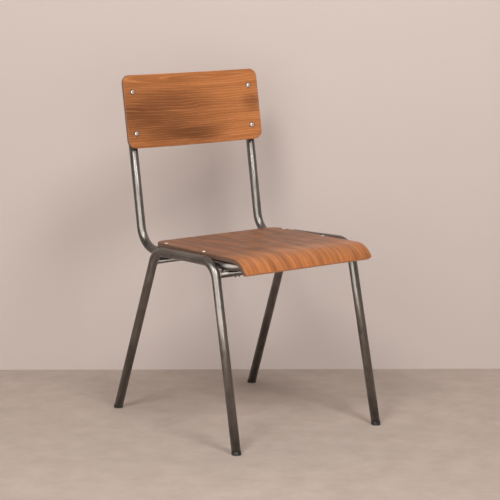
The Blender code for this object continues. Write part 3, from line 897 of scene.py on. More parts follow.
# %% Shader group: glued layers
def make_layers_group():
    tree, start, end = new_tree(
        "glued_layers", "ShaderNodeTree",
        [("Board", VECTOR), ("Thickness", FLOAT, 0.01),
         ("Layers", FLOAT, 7.0), ("Arris", FLOAT, 0.0009)],
        [("Edge", FLOAT), ("Cross layer", FLOAT),
         ("Glue", FLOAT), ("Sanded", FLOAT)],
    )
    board = start.outputs["Board"]
    depth = add(tree, "ShaderNodeSeparateXYZ", {0: board}).outputs["Z"]
    ragged = noise(tree, stretched(tree, board, (1.0, 1.0, 0.2)), 90.0, 3.0, 0.6)
    ragged = times(tree, minus(tree, ragged, 0.5), 0.0006)
    share = sums(tree, "DIVIDE", plus(tree, depth, ragged), start.outputs["Thickness"])
    count = times(tree, share, start.outputs["Layers"])
    odd = sums(tree, "MODULO", count, 2.0)
    cross_layer = remap(tree, sums(tree, "ABSOLUTE", minus(tree, odd, 1.5)), 0.52, 0.44)
    from_middle = sums(tree, "ABSOLUTE", minus(tree, sums(tree, "FRACT", count), 0.5))
    glue = remap(tree, from_middle, 0.40, 0.48)
    rim = sums(tree, "MINIMUM", depth, minus(tree, start.outputs["Thickness"], depth))
    edge = remap(tree, rim, 0.0002, 0.0007)
    sanded = remap(tree, rim, 0.0, times(tree, start.outputs["Arris"], 0.5))
    sanded = times(tree, sanded, minus(tree, 1.0, edge))
    fill(tree, end, {"Edge": edge, "Cross layer": cross_layer, "Glue": glue, "Sanded": sanded})
    return tree


layers_group = make_layers_group()

# %% [markdown]
# ## Veneer materials
#
# Both boards share one recipe: a pale and a dark ground mixed by the broad bands and by a map of
# where the heartwood lies (on the seat with painted shade on the flat top), ring lines on top, then
# fibres, pores, a darker ring round each rivet, and lacquer. The back's grain runs from side to
# side and the seat's from rear to front, so each hands over its own coordinates and colours.

# %% Veneer recipe
def spot_mask(tree, flat, spots, radius):
    """1 at the places in spots, given as (across, along), and 0 from radius outwards."""
    total = None
    for across, along in spots:
        away = add(tree, "ShaderNodeVectorMath", {0: flat, 1: (across, along, 0)}, operation="DISTANCE")
        near = remap(tree, away.outputs["Value"], radius * 0.45, radius, 1.0, 0.0, smooth=True)
        total = near if total is None else sums(tree, "MAXIMUM", total, near)
    return total


def veneer_material(name, grain_turn, look, ply, layers, rivet_spots, heart_and_shade_map):
    """look holds the colours; the map gives the mask of dark wood at the flat point, on the seat with
    painted shade on its flat top as well.
    """
    made, tree, shader = new_material(name, Coat_Roughness=look["coat_roughness"], Coat_IOR=1.5,
                                      Specular_IOR_Level=look["specular"])
    board = attribute(tree, "board")
    flat = stretched(tree, board, (1.0, 1.0, 0.0))
    grain = add(tree, "ShaderNodeMapping", {"Vector": board, "Rotation": (0, 0, grain_turn)})
    figure = place_group(tree, veneer_group, {
        "Grain": grain.outputs["Vector"], "Heart": look["heart"], "Ring width": look["ring_width"],
        "Slenderness": look["slenderness"], "Waviness": look["waviness"]}).outputs
    use = place_group(tree, use_group, {"Vector": board, "Scratch density": 0.6}).outputs
    glued = place_group(tree, layers_group, {"Board": board, "Thickness": ply, "Layers": layers,
                                             "Arris": ARRIS}).outputs

    # the face
    # dark wood; for the seat it also holds painted shade on the flat top
    dark_wood_and_shade = heart_and_shade_map(tree, flat)
    face = mix(tree, remap(tree, figure["Bands"], 0.30, 0.70), look["pale"], look["middle"])
    face = mix(tree, dark_wood_and_shade, face, look["dark"])
    ring_depth = sums(tree, "MULTIPLY_ADD", dark_wood_and_shade, look["ring_in_dark"], look["ring_in_pale"])
    face = mix(tree, times(tree, figure["Rings"], ring_depth), face, look["ring"])
    face = mix(tree, times(tree, figure["Pale lines"], look["line_strength"]), face, look["line"])
    fibre = remap(tree, figure["Fibres"], 0.30, 0.70, 1.0 - look["fibre"], 1.0 + look["fibre"])
    face = shade(tree, face, fibre)
    face = mix(tree, times(tree, figure["Pores"], look["pore_strength"]), face, look["pore"])
    # a darker ring round each rivet
    rivet_ring = times(tree, spot_mask(tree, flat, rivet_spots, RIVET_RING_R), 0.75)
    face = mix(tree, rivet_ring, face, look["rivet_ring"])
    face = mix(tree, times(tree, use["Dust"], look["dust"]), face, DUST)

    # the sawn edge
    open_fibres = noise(tree, stretched(tree, board, (1.0, 1.0, 0.4)), 900.0, 3.0, 0.6)
    sawn = mix(tree, glued["Cross layer"], look["edge_pale"], look["edge_dark"])
    sawn = mix(tree, times(tree, glued["Glue"], 0.75), sawn, look["glue"])
    sawn = shade(tree, sawn, remap(tree, open_fibres, 0.3, 0.7, 0.78, 1.18))
    along = add(tree, "ShaderNodeSeparateXYZ", {0: board}).outputs["Y"]
    fresh = remap(tree, along, look["fresh_from"] - FRESH_BLEND, look["fresh_from"])
    sawn = mix(tree, fresh, sawn, look["fresh"])
    colour = mix(tree, glued["Edge"], face, sawn)
    arris = mix(tree, fresh, look["arris"], look["fresh"])
    colour = mix(tree, times(tree, glued["Sanded"], look["sanded"]), colour, arris)

    # the lacquer
    rough = remap(tree, figure["Fibres"], 0.3, 0.7, *look["rough"])
    rough = plus(tree, rough, times(tree, glued["Edge"], 0.12))
    rough = plus(tree, rough, remap(tree, use["Haze"], 0.3, 0.75, -0.04, 0.09))
    coat = remap(tree, use["Haze"], 0.3, 0.75, look["coat"], look["coat"] * 0.55)
    coat = times(tree, coat, minus(tree, 1.0, times(tree, use["Scratches"], 0.6)))
    height = minus(tree, times(tree, figure["Fibres"], 0.6), times(tree, figure["Pores"], 0.7))
    height = minus(tree, height, times(tree, glued["Glue"], times(tree, glued["Edge"], 0.8)))
    wire(tree, shader, height, VENEER_BUMP, Base_Color=colour, Roughness=rough, Coat_Weight=coat)
    return made


VENEER_BUMP = (0.6, 0.00003)
RIVET_RING_R = 0.0092                      # how far from a rivet's axis its darker ring reaches
FRESH_BLEND = 0.004                   # the length over which an edge turns fresh


# %% [markdown]
# ## The seat
#
# A flat board with rounded rear corners whose front rolls down over the thighs' edge. The flat
# top is painted darker than the lip: partly wear where it is sat on, partly painted shade, as the
# lip takes more light. The lip stays fresh orange.

# %% Seat
SEAT_FLAT = (SEAT_REAR - LIP_START) / -SEAT_AHEAD.y
SEAT_LENGTH = SEAT_FLAT + LIP_RADIUS * LIP_TURN
FLAT_ROWS = 20
LIP_ROWS = 30
SEAT_LAYERS = 9.0


def place_on_seat(across, along, depth):
    """Along runs from the rear edge over the top and down the lip."""
    turn = max(0.0, along - SEAT_FLAT) / LIP_RADIUS
    down = SEAT_UP * (LIP_RADIUS * (1 - math.cos(turn)))
    ahead = SEAT_AHEAD * (min(along, SEAT_FLAT) + LIP_RADIUS * math.sin(turn))
    up = SEAT_UP * math.cos(turn) + SEAT_AHEAD * math.sin(turn)
    return seat_point(SEAT_REAR) + ahead - down + Vector((across, 0, 0)) - up * depth


def seat_heartwood_and_shade(tree, flat):
    """Dark broad streaks all over, and a clouded dark on the flat top that fades before the lip: partly
    wear, partly painted shade.
    """
    parts = add(tree, "ShaderNodeSeparateXYZ", {0: flat})
    streaks = noise(tree, stretched(tree, flat, (1.0, 0.14, 1.0)), 42.0, 2.0, 0.5)
    streaks = remap(tree, streaks, 0.42, 0.66, 0.0, 0.60)
    # partly wear, partly painted shade: the flat top darker than the lip, which takes more light
    worn_and_shade = remap(tree, parts.outputs["Y"], SEAT_FLAT - 0.075, SEAT_FLAT - 0.005, 0.62, 0.0, smooth=True)
    cloud = noise(tree, flat, 16.0, 3.0, 0.5)
    worn_and_shade = times(tree, worn_and_shade, remap(tree, cloud, 0.3, 0.7, 0.75, 1.25))
    return sums(tree, "ADD", streaks, worn_and_shade, clamp=True)


SEAT_LOOK = {
    "heart": (0.06, 0.035, 0.0), "ring_width": 0.0115, "slenderness": 0.05, "waviness": 0.024,
    "pale": (0.57, 0.203, 0.060), "middle": (0.385, 0.130, 0.034), "dark": (0.175, 0.060, 0.016),
    "ring": (0.17, 0.052, 0.018), "ring_in_pale": 0.20, "ring_in_dark": 0.12, "fibre": 0.15,
    "line": (0.72, 0.30, 0.115), "line_strength": 0.28,
    "pore": (0.07, 0.025, 0.010), "pore_strength": 0.50, "rivet_ring": (0.05, 0.028, 0.018), "dust": 0.22,
    "edge_pale": (0.21, 0.120, 0.076), "edge_dark": (0.095, 0.050, 0.032), "glue": (0.035, 0.021, 0.015),
    "arris": (0.07, 0.032, 0.016), "sanded": 0.8, "rough": (0.36, 0.52), "coat": 0.28,
    "coat_roughness": 0.24, "specular": 0.35, "fresh": (0.62, 0.26, 0.11), "fresh_from": SEAT_LENGTH,
}
seat_rivet_flat = [
    (side * RAIL_X, (SEAT_REAR - y) / -SEAT_AHEAD.y)
    for side in (1, -1) for y in SEAT_RIVET_Y
]
seat_veneer = veneer_material("seat_veneer", math.pi / 2, SEAT_LOOK, SEAT_PLY, SEAT_LAYERS,
                              seat_rivet_flat, seat_heartwood_and_shade)
flat_run = SEAT_FLAT - SEAT_REAR_CORNER
lip_run = SEAT_LENGTH - LIP_CORNER - SEAT_FLAT
seat_between = [SEAT_REAR_CORNER + flat_run * k / FLAT_ROWS for k in range(1, FLAT_ROWS + 1)]
seat_between += [SEAT_FLAT + lip_run * k / LIP_ROWS for k in range(1, LIP_ROWS)]
seat_rows = outline_rows(SEAT_LENGTH, SEAT_HALF_WIDTH, SEAT_REAR_CORNER, LIP_CORNER, seat_between)
seat_columns = across_steps(24, 0.02)
seat_board = make_board("seat_board", seat_rows, seat_columns, SEAT_PLY, place_on_seat, seat_veneer)
finish_piece(seat_board, "veneer", "seat_panel")

# %% [markdown]
# ## The backrest
#
# A thinner board pressed to a shallow hollow, a quarter of it over the uprights on each side.
# Its figure is the chair's showpiece: patches of dark heartwood from the right edge to the
# middle and low down, crossed by fine pale lines, and plain orange sapwood round them.

# %% Backrest
ALONG_UPRIGHT = math.sqrt(1 + UPRIGHT_LEAN ** 2)    # length of upright per metre of height
BACK_HALF_HEIGHT = (BACK_Z[1] - BACK_Z[0]) / 2 * ALONG_UPRIGHT
BACK_LENGTH = 2 * BACK_HALF_WIDTH
BACK_MIDDLE_Z = (BACK_Z[0] + BACK_Z[1]) / 2
BACK_ROWS = 40
BACK_LAYERS = 7.0
back_middle = back_hub(BACK_MIDDLE_Z)


def place_on_back(height, along, depth):
    """Along runs from the right edge to the left one; height is from the board's middle."""
    x = along - BACK_HALF_WIDTH
    swing = x / BACK_RADIUS
    out = Vector((math.sin(swing), 0, 0)) - BACK_AHEAD * math.cos(swing)
    if height < 0:
        height *= 1 + BACK_BELLY * (1 - (x / BACK_HALF_WIDTH) ** 2) / BACK_HALF_HEIGHT
    return back_middle + out * (BACK_RADIUS + depth) + BACK_UP * height


# dark patches: (along, height, half length, half height, depth of colour)
BACK_STAINS = (
    (0.090, -0.010, 0.260, 0.095, 0.55),
    (0.020, -0.006, 0.130, 0.018, 0.65),
    (0.100, -0.030, 0.120, 0.026, 0.45),
    (0.185, -0.060, 0.130, 0.028, 0.88),
    (0.150, 0.022, 0.120, 0.028, 0.40),
    (0.372, 0.006, 0.035, 0.026, 0.55),
)


def back_heartwood(tree, flat):
    """Ragged dark patches, drawn out along the grain."""
    ragged = noise(tree, stretched(tree, flat, (1.0, 0.10, 1.0)), 75.0, 4.0, 0.6)
    ragged = times(tree, minus(tree, ragged, 0.5), 0.060)
    drift = add(tree, "ShaderNodeCombineXYZ", {"X": ragged}).outputs[0]
    ragged_flat = add(tree, "ShaderNodeVectorMath", {0: flat, 1: drift}, operation="ADD").outputs[0]
    clear = None
    for along, height, half_length, half_height, depth in BACK_STAINS:
        local = add(tree, "ShaderNodeVectorMath", {0: ragged_flat, 1: (height, along, 0)},
                    operation="SUBTRACT").outputs[0]
        local = stretched(tree, local, (1 / half_height, 1 / half_length, 1.0))
        away = add(tree, "ShaderNodeVectorMath", {0: local}, operation="LENGTH").outputs["Value"]
        left = minus(tree, 1.0, remap(tree, away, 1.2, 0.15, 0.0, depth, smooth=True))
        clear = left if clear is None else times(tree, clear, left)
    return minus(tree, 1.0, clear)


BACK_LOOK = {
    "heart": (0.24, -0.075, 0.0), "ring_width": 0.0062, "slenderness": 0.055, "waviness": 0.034,
    "pale": (0.59, 0.218, 0.066), "middle": (0.40, 0.138, 0.038), "dark": (0.138, 0.041, 0.0090),
    "ring": (0.150, 0.046, 0.012), "ring_in_pale": 0.24, "ring_in_dark": 0.22, "fibre": 0.22,
    "line": (0.74, 0.34, 0.14), "line_strength": 0.34,
    "pore": (0.060, 0.022, 0.008), "pore_strength": 0.60, "rivet_ring": (0.035, 0.020, 0.014), "dust": 0.15,
    "edge_pale": (0.30, 0.175, 0.110), "edge_dark": (0.15, 0.080, 0.052), "glue": (0.05, 0.030, 0.022),
    "arris": (0.10, 0.042, 0.020), "sanded": 0.5, "rough": (0.36, 0.52), "coat": 0.22,
    "coat_roughness": 0.27, "specular": 0.30, "fresh": (0.24, 0.14, 0.085), "fresh_from": 1.0,
}
back_rivet_flat = []
for side in (1, -1):
    for z in BACK_RIVET_Z:
        rise = (z - BACK_MIDDLE_Z) * ALONG_UPRIGHT
        back_rivet_flat.append((rise, BACK_HALF_WIDTH + side * BACK_SWING * BACK_RADIUS))
back_veneer = veneer_material("back_veneer", -math.pi / 2, BACK_LOOK, BACK_PLY, BACK_LAYERS,
                              back_rivet_flat, back_heartwood)
side_run = BACK_LENGTH - 2 * BACK_CORNER
back_between = [BACK_CORNER + side_run * k / BACK_ROWS for k in range(1, BACK_ROWS)]
back_rows = outline_rows(BACK_LENGTH, BACK_HALF_HEIGHT, BACK_CORNER, BACK_CORNER, back_between)
back_columns = across_steps(16, 0.03)
back_board = make_board("back_board", back_rows, back_columns, BACK_PLY, place_on_back, back_veneer)
finish_piece(back_board, "veneer", "backrest_panel")

# %% [markdown]
# ## Turned parts
#
# Rivets, mandrels, plugs and studs are all round, so each is an outline of radius and height
# spun about its axis. Rows of outline points make rings; a radius of nought makes the closing
# point, so no hole is left at a pole.

# %% Turning helper
TURN_FACETS = 40
SOFT_STEPS = 4
DOME_STEPS = 8


def turned(profile, facets=TURN_FACETS):
    """A closed turned solid about +Z, from (radius, height) points in order."""
    bm = bmesh.new()
    rings = []
    for radius, height in profile:
        count = 1 if radius == 0.0 else facets
        ring = []
        for k in range(count):
            a = math.tau * k / facets
            ring.append(bm.verts.new((radius * math.cos(a), radius * math.sin(a), height)))
        rings.append(ring)
    pairs = list(zip(rings, rings[1:]))
    if profile[0][0] > 0.0:
        pairs.append((rings[-1], rings[0]))
    for ring_a, ring_b in pairs:
        for k in range(facets):
            n = (k + 1) % facets
            corners = []
            for v in (ring_a[k % len(ring_a)], ring_a[n % len(ring_a)],
                      ring_b[n % len(ring_b)], ring_b[k % len(ring_b)]):
                if v not in corners:
                    corners.append(v)
            bm.faces.new(corners)
    return bm


def rounded(corner, radius, before, after):
    """Points of a quarter-like bend at corner, between the directions to before and after."""
    corner, before, after = Vector(corner), Vector(before), Vector(after)
    start = corner + (before - corner).normalized() * radius
    stop = corner + (after - corner).normalized() * radius
    points = []
    for k in range(SOFT_STEPS + 1):
        t = k / SOFT_STEPS
        point = start * (1 - t) ** 2 + corner * (2 * t * (1 - t)) + stop * t ** 2
        points.append((point.x, point.y))
    return points


def soften(profile, radius):
    """Rounds every inner corner of a profile by up to radius."""
    softened = [profile[0]]
    for before, corner, after in zip(profile, profile[1:], profile[2:]):
        room = min((Vector(before) - Vector(corner)).length, (Vector(after) - Vector(corner)).length)
        softened += rounded(corner, min(radius, room * 0.45), before, after)
    softened.append(profile[-1])
    return softened


def to_mesh(name, bm, angle=40.0):
    bmesh.ops.recalc_face_normals(bm, faces=bm.faces)
    mesh = bpy.data.meshes.new(name)
    bm.to_mesh(mesh)
    bm.free()
    mesh.shade_smooth()
    mesh.set_sharp_from_angle(angle=math.radians(angle))
    return mesh


def frame_at(origin, z_axis):
    """A placement whose +Z points along z_axis."""
    z = Vector(z_axis).normalized()
    y = z.cross(Vector((1, 0, 0))).normalized()
    return Matrix.Translation(origin) @ Matrix((y.cross(z), y, z)).transposed().to_4x4()


# %% [markdown]
# ## Small metal and plastic finishes
#
# Pulled aluminium rivets are bright with turned marks; the broken ends of their mandrels are
# dull plated steel. The plugs are black polyethylene: satin, faintly orange-peeled, scuffed
# where they meet the floor.

# %% Materials: rivet, mandrel, plastic
def make_rivet_metal():
    made, tree, shader = new_material("rivet_aluminium", Metallic=1.0)
    point = object_point(tree)
    use = place_group(tree, use_group, {"Vector": point, "Scratch density": 1.0}).outputs
    mottle = noise(tree, point, 1500.0, 3.0, 0.6)
    colour = mix(tree, remap(tree, mottle, 0.3, 0.75), (0.93, 0.92, 0.90), (0.76, 0.75, 0.73))
    colour = mix(tree, times(tree, use["Dust"], 0.4), colour, DUST)
    rough = remap(tree, mottle, 0.3, 0.7, 0.36, 0.52)
    wire(tree, shader, mottle, RIVET_BUMP, Base_Color=colour, Roughness=rough)
    return made


def make_mandrel_metal():
    made, tree, shader = new_material("mandrel_steel", Metallic=1.0)
    point = object_point(tree)
    torn = noise(tree, point, 2600.0, 4.0, 0.7)
    colour = mix(tree, remap(tree, torn, 0.35, 0.7), (0.10, 0.095, 0.09), (0.26, 0.25, 0.24))
    rough = remap(tree, torn, 0.3, 0.7, 0.4, 0.6)
    wire(tree, shader, torn, MANDREL_BUMP, Base_Color=colour, Roughness=rough)
    return made


def make_black_plastic():
    made, tree, shader = new_material("black_plastic", Specular_IOR_Level=0.4)
    point = object_point(tree)
    use = place_group(tree, use_group, {"Vector": point, "Scratch density": 1.0}).outputs
    peel = noise(tree, point, 700.0, 3.0, 0.55)
    low = remap(tree, add(tree, "ShaderNodeSeparateXYZ", {0: point}).outputs["Z"], 0.004, 0.0005)
    scuffed = times(tree, low, remap(tree, noise(tree, point, 300.0, 3.0), 0.4, 0.65))
    colour = mix(tree, remap(tree, peel, 0.3, 0.7), (0.012, 0.0115, 0.011), (0.022, 0.021, 0.020))
    colour = mix(tree, times(tree, scuffed, 0.6), colour, (0.085, 0.080, 0.075))
    colour = mix(tree, times(tree, use["Dust"], 0.35), colour, DUST)
    rough = plus(tree, remap(tree, peel, 0.3, 0.7, 0.38, 0.50), times(tree, scuffed, 0.25))
    wire(tree, shader, peel, PLASTIC_BUMP, Base_Color=colour, Roughness=rough)
    return made


RIVET_BUMP = (0.4, 0.00001)
MANDREL_BUMP = (0.8, 0.00006)
PLASTIC_BUMP = (0.5, 0.00003)

rivet_metal = make_rivet_metal()
mandrel_metal = make_mandrel_metal()
black_plastic = make_black_plastic()

# %% [markdown]
# ## Rivets
#
# Eight blind rivets hold the boards. Each is a hollow aluminium body, set from the front, whose
# steel mandrel was pulled until it bulged the far end and snapped inside the head. One profile
# is turned for each, and Geometry Nodes set a copy on each rivet's point, its axis lying along
# the direction stored there, turned about itself by a fixed seed.

# %% Geometry Nodes: fasteners on points
def make_fastener_tree():
    tree, start, end = new_tree(
        "fasteners", "GeometryNodeTree",
        [("Places", GEOMETRY), ("Fastener", "NodeSocketObject"),
         ("Seed", INTEGER, 4), ("Material", MATERIAL)],
        [("Fasteners", GEOMETRY)],
    )
    pattern = add(tree, "GeometryNodeObjectInfo",
                  {"Object": start.outputs["Fastener"], "As Instance": True})
    axis = add(tree, "GeometryNodeInputNamedAttribute", {"Name": "axis"}, data_type="FLOAT_VECTOR")
    aimed = add(tree, "FunctionNodeAlignRotationToVector", {"Vector": axis.outputs[0]}, axis="Z")
    spin = add(tree, "FunctionNodeRandomValue", {2: 0.0, 3: math.tau, "Seed": start.outputs["Seed"]},
               data_type="FLOAT")
    spin = add(tree, "FunctionNodeAxisAngleToRotation", {"Axis": (0, 0, 1), "Angle": spin.outputs[1]})
    turn = add(tree, "FunctionNodeRotateRotation", {0: aimed.outputs[0], 1: spin.outputs[0]},
               rotation_space="LOCAL")
    placed = add(tree, "GeometryNodeInstanceOnPoints",
                 {"Points": start.outputs["Places"], "Instance": pattern.outputs["Geometry"],
                  "Rotation": turn.outputs[0]})
    placed = add(tree, "GeometryNodeRealizeInstances", {"Geometry": placed.outputs[0]})
    placed = add(tree, "GeometryNodeSetMaterial",
                 {"Geometry": placed.outputs[0], "Material": start.outputs["Material"]})
    tree.links.new(placed.outputs[0], end.inputs[0])
    return tree


fastener_tree = make_fastener_tree()


# %% Rivets and mandrels
RIVET_R = 0.0024
RIVET_HEAD_R = 0.00475
RIVET_HEAD_H = 0.0013
RIVET_BORE = 0.0012
RIVET_GRIP = 0.0010                   # play between the tube's wall and the bulb
BULB_R = 0.0032
BULB_H = 0.0045
MANDREL_R = 0.0010
MANDREL_HEAD_R = 0.0022
MANDREL_HEAD_H = 0.0018
MANDREL_SUNK = 0.0006


def rivet_profile(ply):
    """Heights are measured from the underside of the head."""
    bulb_top = -(ply + 2 * GAP) - TUBE_WALL - RIVET_GRIP
    far_end = bulb_top - BULB_H
    dome = [(RIVET_BORE + (RIVET_HEAD_R - RIVET_BORE) * math.sin(t),
             RIVET_HEAD_H * (0.22 + 0.78 * math.cos(t))) for t in quarter_turn(DOME_STEPS)]
    return dome + [
        (RIVET_HEAD_R, 0.0), (RIVET_R, 0.0), (RIVET_R, bulb_top),
        (BULB_R, bulb_top - BULB_H * 0.25), (BULB_R, bulb_top - BULB_H * 0.55),
        (RIVET_R, far_end), (RIVET_BORE, far_end),
    ]


def mandrel_profile(ply):
    """The broken stem, sunk in the head, and the mandrel's own head beyond the bulb."""
    head_top = -(ply + 2 * GAP) - TUBE_WALL - RIVET_GRIP - BULB_H - GAP
    return [
        (0.0, -MANDREL_SUNK), (MANDREL_R * 0.7, -MANDREL_SUNK - 0.0001),
        (MANDREL_R, -MANDREL_SUNK - 0.0003), (MANDREL_R, head_top), (MANDREL_HEAD_R, head_top),
        (MANDREL_HEAD_R, head_top - MANDREL_HEAD_H * 0.6), (0.0, head_top - MANDREL_HEAD_H),
    ]


def set_fasteners(name, spots, profile, fastener_material, slot, seed, suffix):
    """spots are (CAD node, place under the head, direction of the head)."""
    pattern = bpy.data.objects.new(name + "_pattern", to_mesh(name + "_pattern", turned(profile)))
    scene.collection.objects.link(pattern)
    places = bpy.data.meshes.new(name + "_places")
    places.from_pydata([tuple(head) for _, head, _ in spots], [], [])
    stored = places.attributes.new("axis", "FLOAT_VECTOR", "POINT")
    stored.data.foreach_set("vector", [c for _, _, axis in spots for c in axis])
    piece = grow(name, places, fastener_tree, Fastener=pattern, Seed=seed, Material=fastener_material)
    bpy.data.objects.remove(pattern)
    finish_piece(piece, slot, *[node + suffix for node, _, _ in spots])


seat_spots = []
back_spots = []
for side_name, side in SIDES.items():
    for y, end_name in zip(SEAT_RIVET_Y, ("rear", "front")):
        head = rail_point(side * RAIL_X, y) + SEAT_UP * (TUBE_R + 2 * GAP + SEAT_PLY)
        seat_spots.append((f"seat_rivet_{side_name}_{end_name}", head, SEAT_UP))
    for z, end_name in zip(BACK_RIVET_Z, ("lower", "upper")):
        normal = back_normal(side)
        head = upright_point(side * RAIL_X, z) + normal * (TUBE_R + 2 * GAP + BACK_PLY)
        back_spots.append((f"back_rivet_{side_name}_{end_name}", head, normal))

for label, spots, ply in (("seat", seat_spots, SEAT_PLY), ("back", back_spots, BACK_PLY)):
    set_fasteners(f"{label}_rivets", spots, rivet_profile(ply), rivet_metal, "rivet", 4, "")
    set_fasteners(f"{label}_mandrels", spots, mandrel_profile(ply), mandrel_metal, "mandrel", 9, "_mandrel")

# %% [markdown]
# ## Plugs and studs
#
# Moulded plugs close the open tube ends. A foot's head is a little wider than the tube and is cut
# level with the floor; a shank with a soft end holds it in the bore. The caps on the back are
# shallow domes. Two pairs of studs under the front cross tube keep stacked chairs apart.

# %% Plugs and studs
PLUG_SHANK_R = 0.0087
PLUG_SHANK_H = 0.0200
CAP_HEAD_H = 0.0025
FOOT_SPARE = 0.0040                   # what is cut off level with the floor
STUD_R = 0.0018
STUD_H = 0.0022
STUD_FACETS = 24
STUD_SOFT = 0.0007                    # rounding of a stud's and a foot's corners
FOOT_SOFT = 0.0008


def shank():
    return [(PLUG_SHANK_R, 0.0), (PLUG_SHANK_R, PLUG_SHANK_H * 0.85), (PLUG_SHANK_R * 0.85, PLUG_SHANK_H),
            (0.0, PLUG_SHANK_H)]


def plastic_piece(name, bm, node):
    mesh = to_mesh(name, bm, 50.0)
    mesh.materials.append(black_plastic)
    piece = bpy.data.objects.new(name, mesh)
    scene.collection.objects.link(piece)
    finish_piece(piece, "plastic", node)


def make_foot(side, end, side_name, end_name):
    top = leg_point(side, end, FOOT_HEAD_H)
    axis = (leg_point(side, end, LEG_TOP_Z) - top).normalized()
    below = FOOT_HEAD_H / axis.z
    head = [(0.0, -below - FOOT_SPARE), (FOOT_HEAD_R * 0.97, -below - FOOT_SPARE),
            (FOOT_HEAD_R, -below * 0.5), (FOOT_HEAD_R, 0.0)]
    bm = turned(soften(head + shank(), FOOT_SOFT))
    bm.transform(frame_at(top, axis))
    bmesh.ops.bisect_plane(bm, geom=bm.verts[:] + bm.edges[:] + bm.faces[:], plane_co=(0, 0, 0),
                           plane_no=(0, 0, -1), clear_outer=True)
    rim = [e for e in bm.edges if e.is_boundary]
    bmesh.ops.contextual_create(bm, geom=rim)
    plastic_piece(f"foot_{side_name}_{end_name}", bm, f"foot_plug_{side_name}_{end_name}")


for side_name, side in SIDES.items():
    for end, end_name in enumerate(("front", "rear")):
        make_foot(side, end, side_name, end_name)
    dome = [(TUBE_R * math.sin(t), -CAP_HEAD_H * (0.45 + 0.55 * math.cos(t)))
            for t in quarter_turn(DOME_STEPS)]
    dome[0] = (0.0, -CAP_HEAD_H)
    cap = turned(dome + [(TUBE_R, 0.0)] + shank())
    cap.transform(frame_at(upright_point(side * RAIL_X, UPRIGHT_TOP) + BACK_UP * GAP, -BACK_UP))
    plastic_piece(f"cap_{side_name}", cap, f"upright_plug_{side_name}")
    for place_name in ("inner", "outer"):
        node = f"stacking_stud_{side_name}_{place_name}"
        low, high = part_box(node)
        knob = [(0.0, 0.0), (STUD_R, 0.0), (STUD_R, -STUD_H), (0.0, -STUD_H)]
        stud = turned(soften(knob, STUD_SOFT), STUD_FACETS)
        stud.transform(Matrix.Translation(((low.x + high.x) / 2, (low.y + high.y) / 2, high.z)))
        plastic_piece(f"stud_{side_name}_{place_name}", stud, node)

# %% [markdown]
# ## Stage and light
#
# A pale floor and a plain wall close behind the chair. Two soft boxes stand high to the left and
# to the right of the camera, so every leg throws two soft shadows that cross. Below them two
# large panels without shadows fill in, and two cards near the legs light nothing but show as the
# streaks on the tubes. A weak world light does the rest. The wall's back is see-through, so that
# the chair can be looked at from behind as well.

# %% Floor and wall
FLOOR_HALF = 6.0
WALL_AWAY = 0.452                     # beyond the origin, along the view
WALL_HALF = 5.0
WALL_HEIGHT = 4.0
FLOOR_COLOURS = ((0.445, 0.370, 0.322), (0.520, 0.438, 0.388))
WALL_COLOURS = ((0.598, 0.520, 0.486), (0.620, 0.538, 0.504))


def stage_plane(name, corners, stage_material):
    mesh = bpy.data.meshes.new(name)
    mesh.from_pydata(corners, [], [(0, 1, 2, 3)])
    mesh.materials.append(stage_material)
    piece = bpy.data.objects.new(name, mesh)
    scene.collection.objects.link(piece)


def stage_material(name, colours, scale, one_sided):
    made, tree, shader = new_material(name, Specular_IOR_Level=0.2)
    point = object_point(tree)
    cloud = noise(tree, point, scale, 8.0, 0.68)
    colour = mix(tree, remap(tree, cloud, 0.35, 0.65), *colours)
    wire(tree, shader, Base_Color=colour, Roughness=remap(tree, cloud, 0.3, 0.7, 0.75, 0.9))
    if one_sided:
        behind = add(tree, "ShaderNodeNewGeometry").outputs["Backfacing"]
        clear = add(tree, "ShaderNodeBsdfTransparent")
        both = add(tree, "ShaderNodeMixShader", {0: behind, 1: shader.outputs[0], 2: clear.outputs[0]})
        tree.links.new(both.outputs[0], tree.nodes["Material Output"].inputs["Surface"])
    return made


forward = Vector((-view_back.x, -view_back.y, 0)).normalized()
sideways = Vector((forward.y, -forward.x, 0))
foot_of_wall = forward * WALL_AWAY
wall_corners = [
    foot_of_wall - sideways * WALL_HALF,
    foot_of_wall + sideways * WALL_HALF,
    foot_of_wall + sideways * WALL_HALF + Vector((0, 0, WALL_HEIGHT)),
    foot_of_wall - sideways * WALL_HALF + Vector((0, 0, WALL_HEIGHT)),
]
floor_corners = [(x * FLOOR_HALF, y * FLOOR_HALF, 0) for x, y in ((-1, -1), (1, -1), (1, 1), (-1, 1))]
stage_plane("floor", floor_corners, stage_material("pale_floor", FLOOR_COLOURS, 14.0, False))
stage_plane("wall", wall_corners, stage_material("pale_wall", WALL_COLOURS, 0.6, True))


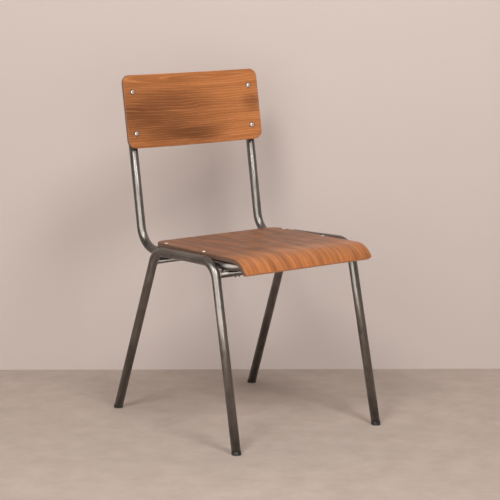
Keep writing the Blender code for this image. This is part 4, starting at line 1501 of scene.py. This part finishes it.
# %% Lights
LAMP_COLOUR = (1.0, 0.975, 0.945)
LAMP_AIM = Vector((0, 0, 0.4))

# name: bearing from +X towards +Y, elevation, distance, (width, height), power in watts, whether
# it throws shadows, whether it lights, whether it shows as a reflection
LAMPS = {
    "left_box": (211, 47, 3.2, (0.8, 0.8), 34.0, True, True, True),
    "right_box": (263, 47, 3.2, (0.8, 0.8), 35.0, True, True, True),
    "left_panel": (208, 14, 3.0, (2.0, 2.4), 20.0, False, True, False),
    "right_panel": (258, 14, 3.0, (2.0, 2.4), 20.0, False, True, False),
    "left_card": (204, 6.5, 0.87, (0.84, 1.0), 7.0, False, False, True),
    "right_card": (243, 6.5, 0.91, (0.26, 1.0), 3.8, False, False, True),
}


def place_lamp(name, bearing, elevation, distance, size, power, shadows, lights, mirrored):
    """A flat lamp, turned to the middle of the chair."""
    lamp = bpy.data.lights.new(name, "AREA")
    lamp.use_shadow = shadows
    lamp.shape = "RECTANGLE"
    lamp.size, lamp.size_y = size
    lamp.energy = power
    lamp.color = LAMP_COLOUR
    turn = math.radians(bearing)
    rise = math.radians(elevation)
    away = Vector((math.cos(turn) * math.cos(rise), math.sin(turn) * math.cos(rise), math.sin(rise)))
    made = bpy.data.objects.new(name, lamp)
    facing = away.to_track_quat("Z", "Y").to_matrix().to_4x4()
    made.matrix_world = Matrix.Translation(LAMP_AIM + away * distance) @ facing
    made.visible_camera = False
    made.visible_diffuse = lights
    made.visible_glossy = mirrored
    scene.collection.objects.link(made)


for lamp_name, lamp_values in LAMPS.items():
    place_lamp(lamp_name, *lamp_values)

SKY_LOW = (0.36, 0.35, 0.34)
SKY_HIGH = (0.20, 0.19, 0.185)
world = bpy.data.worlds.new("studio")
world.use_nodes = True
sky = world.node_tree
height = add(sky, "ShaderNodeSeparateXYZ", {0: add(sky, "ShaderNodeTexCoord").outputs["Generated"]})
fade = remap(sky, height.outputs["Z"], 0.10, 0.85, smooth=True)
fill(sky, sky.nodes["Background"], {"Color": mix(sky, fade, SKY_LOW, SKY_HIGH)})
scene.world = world
scene.view_settings.view_transform = "Standard"
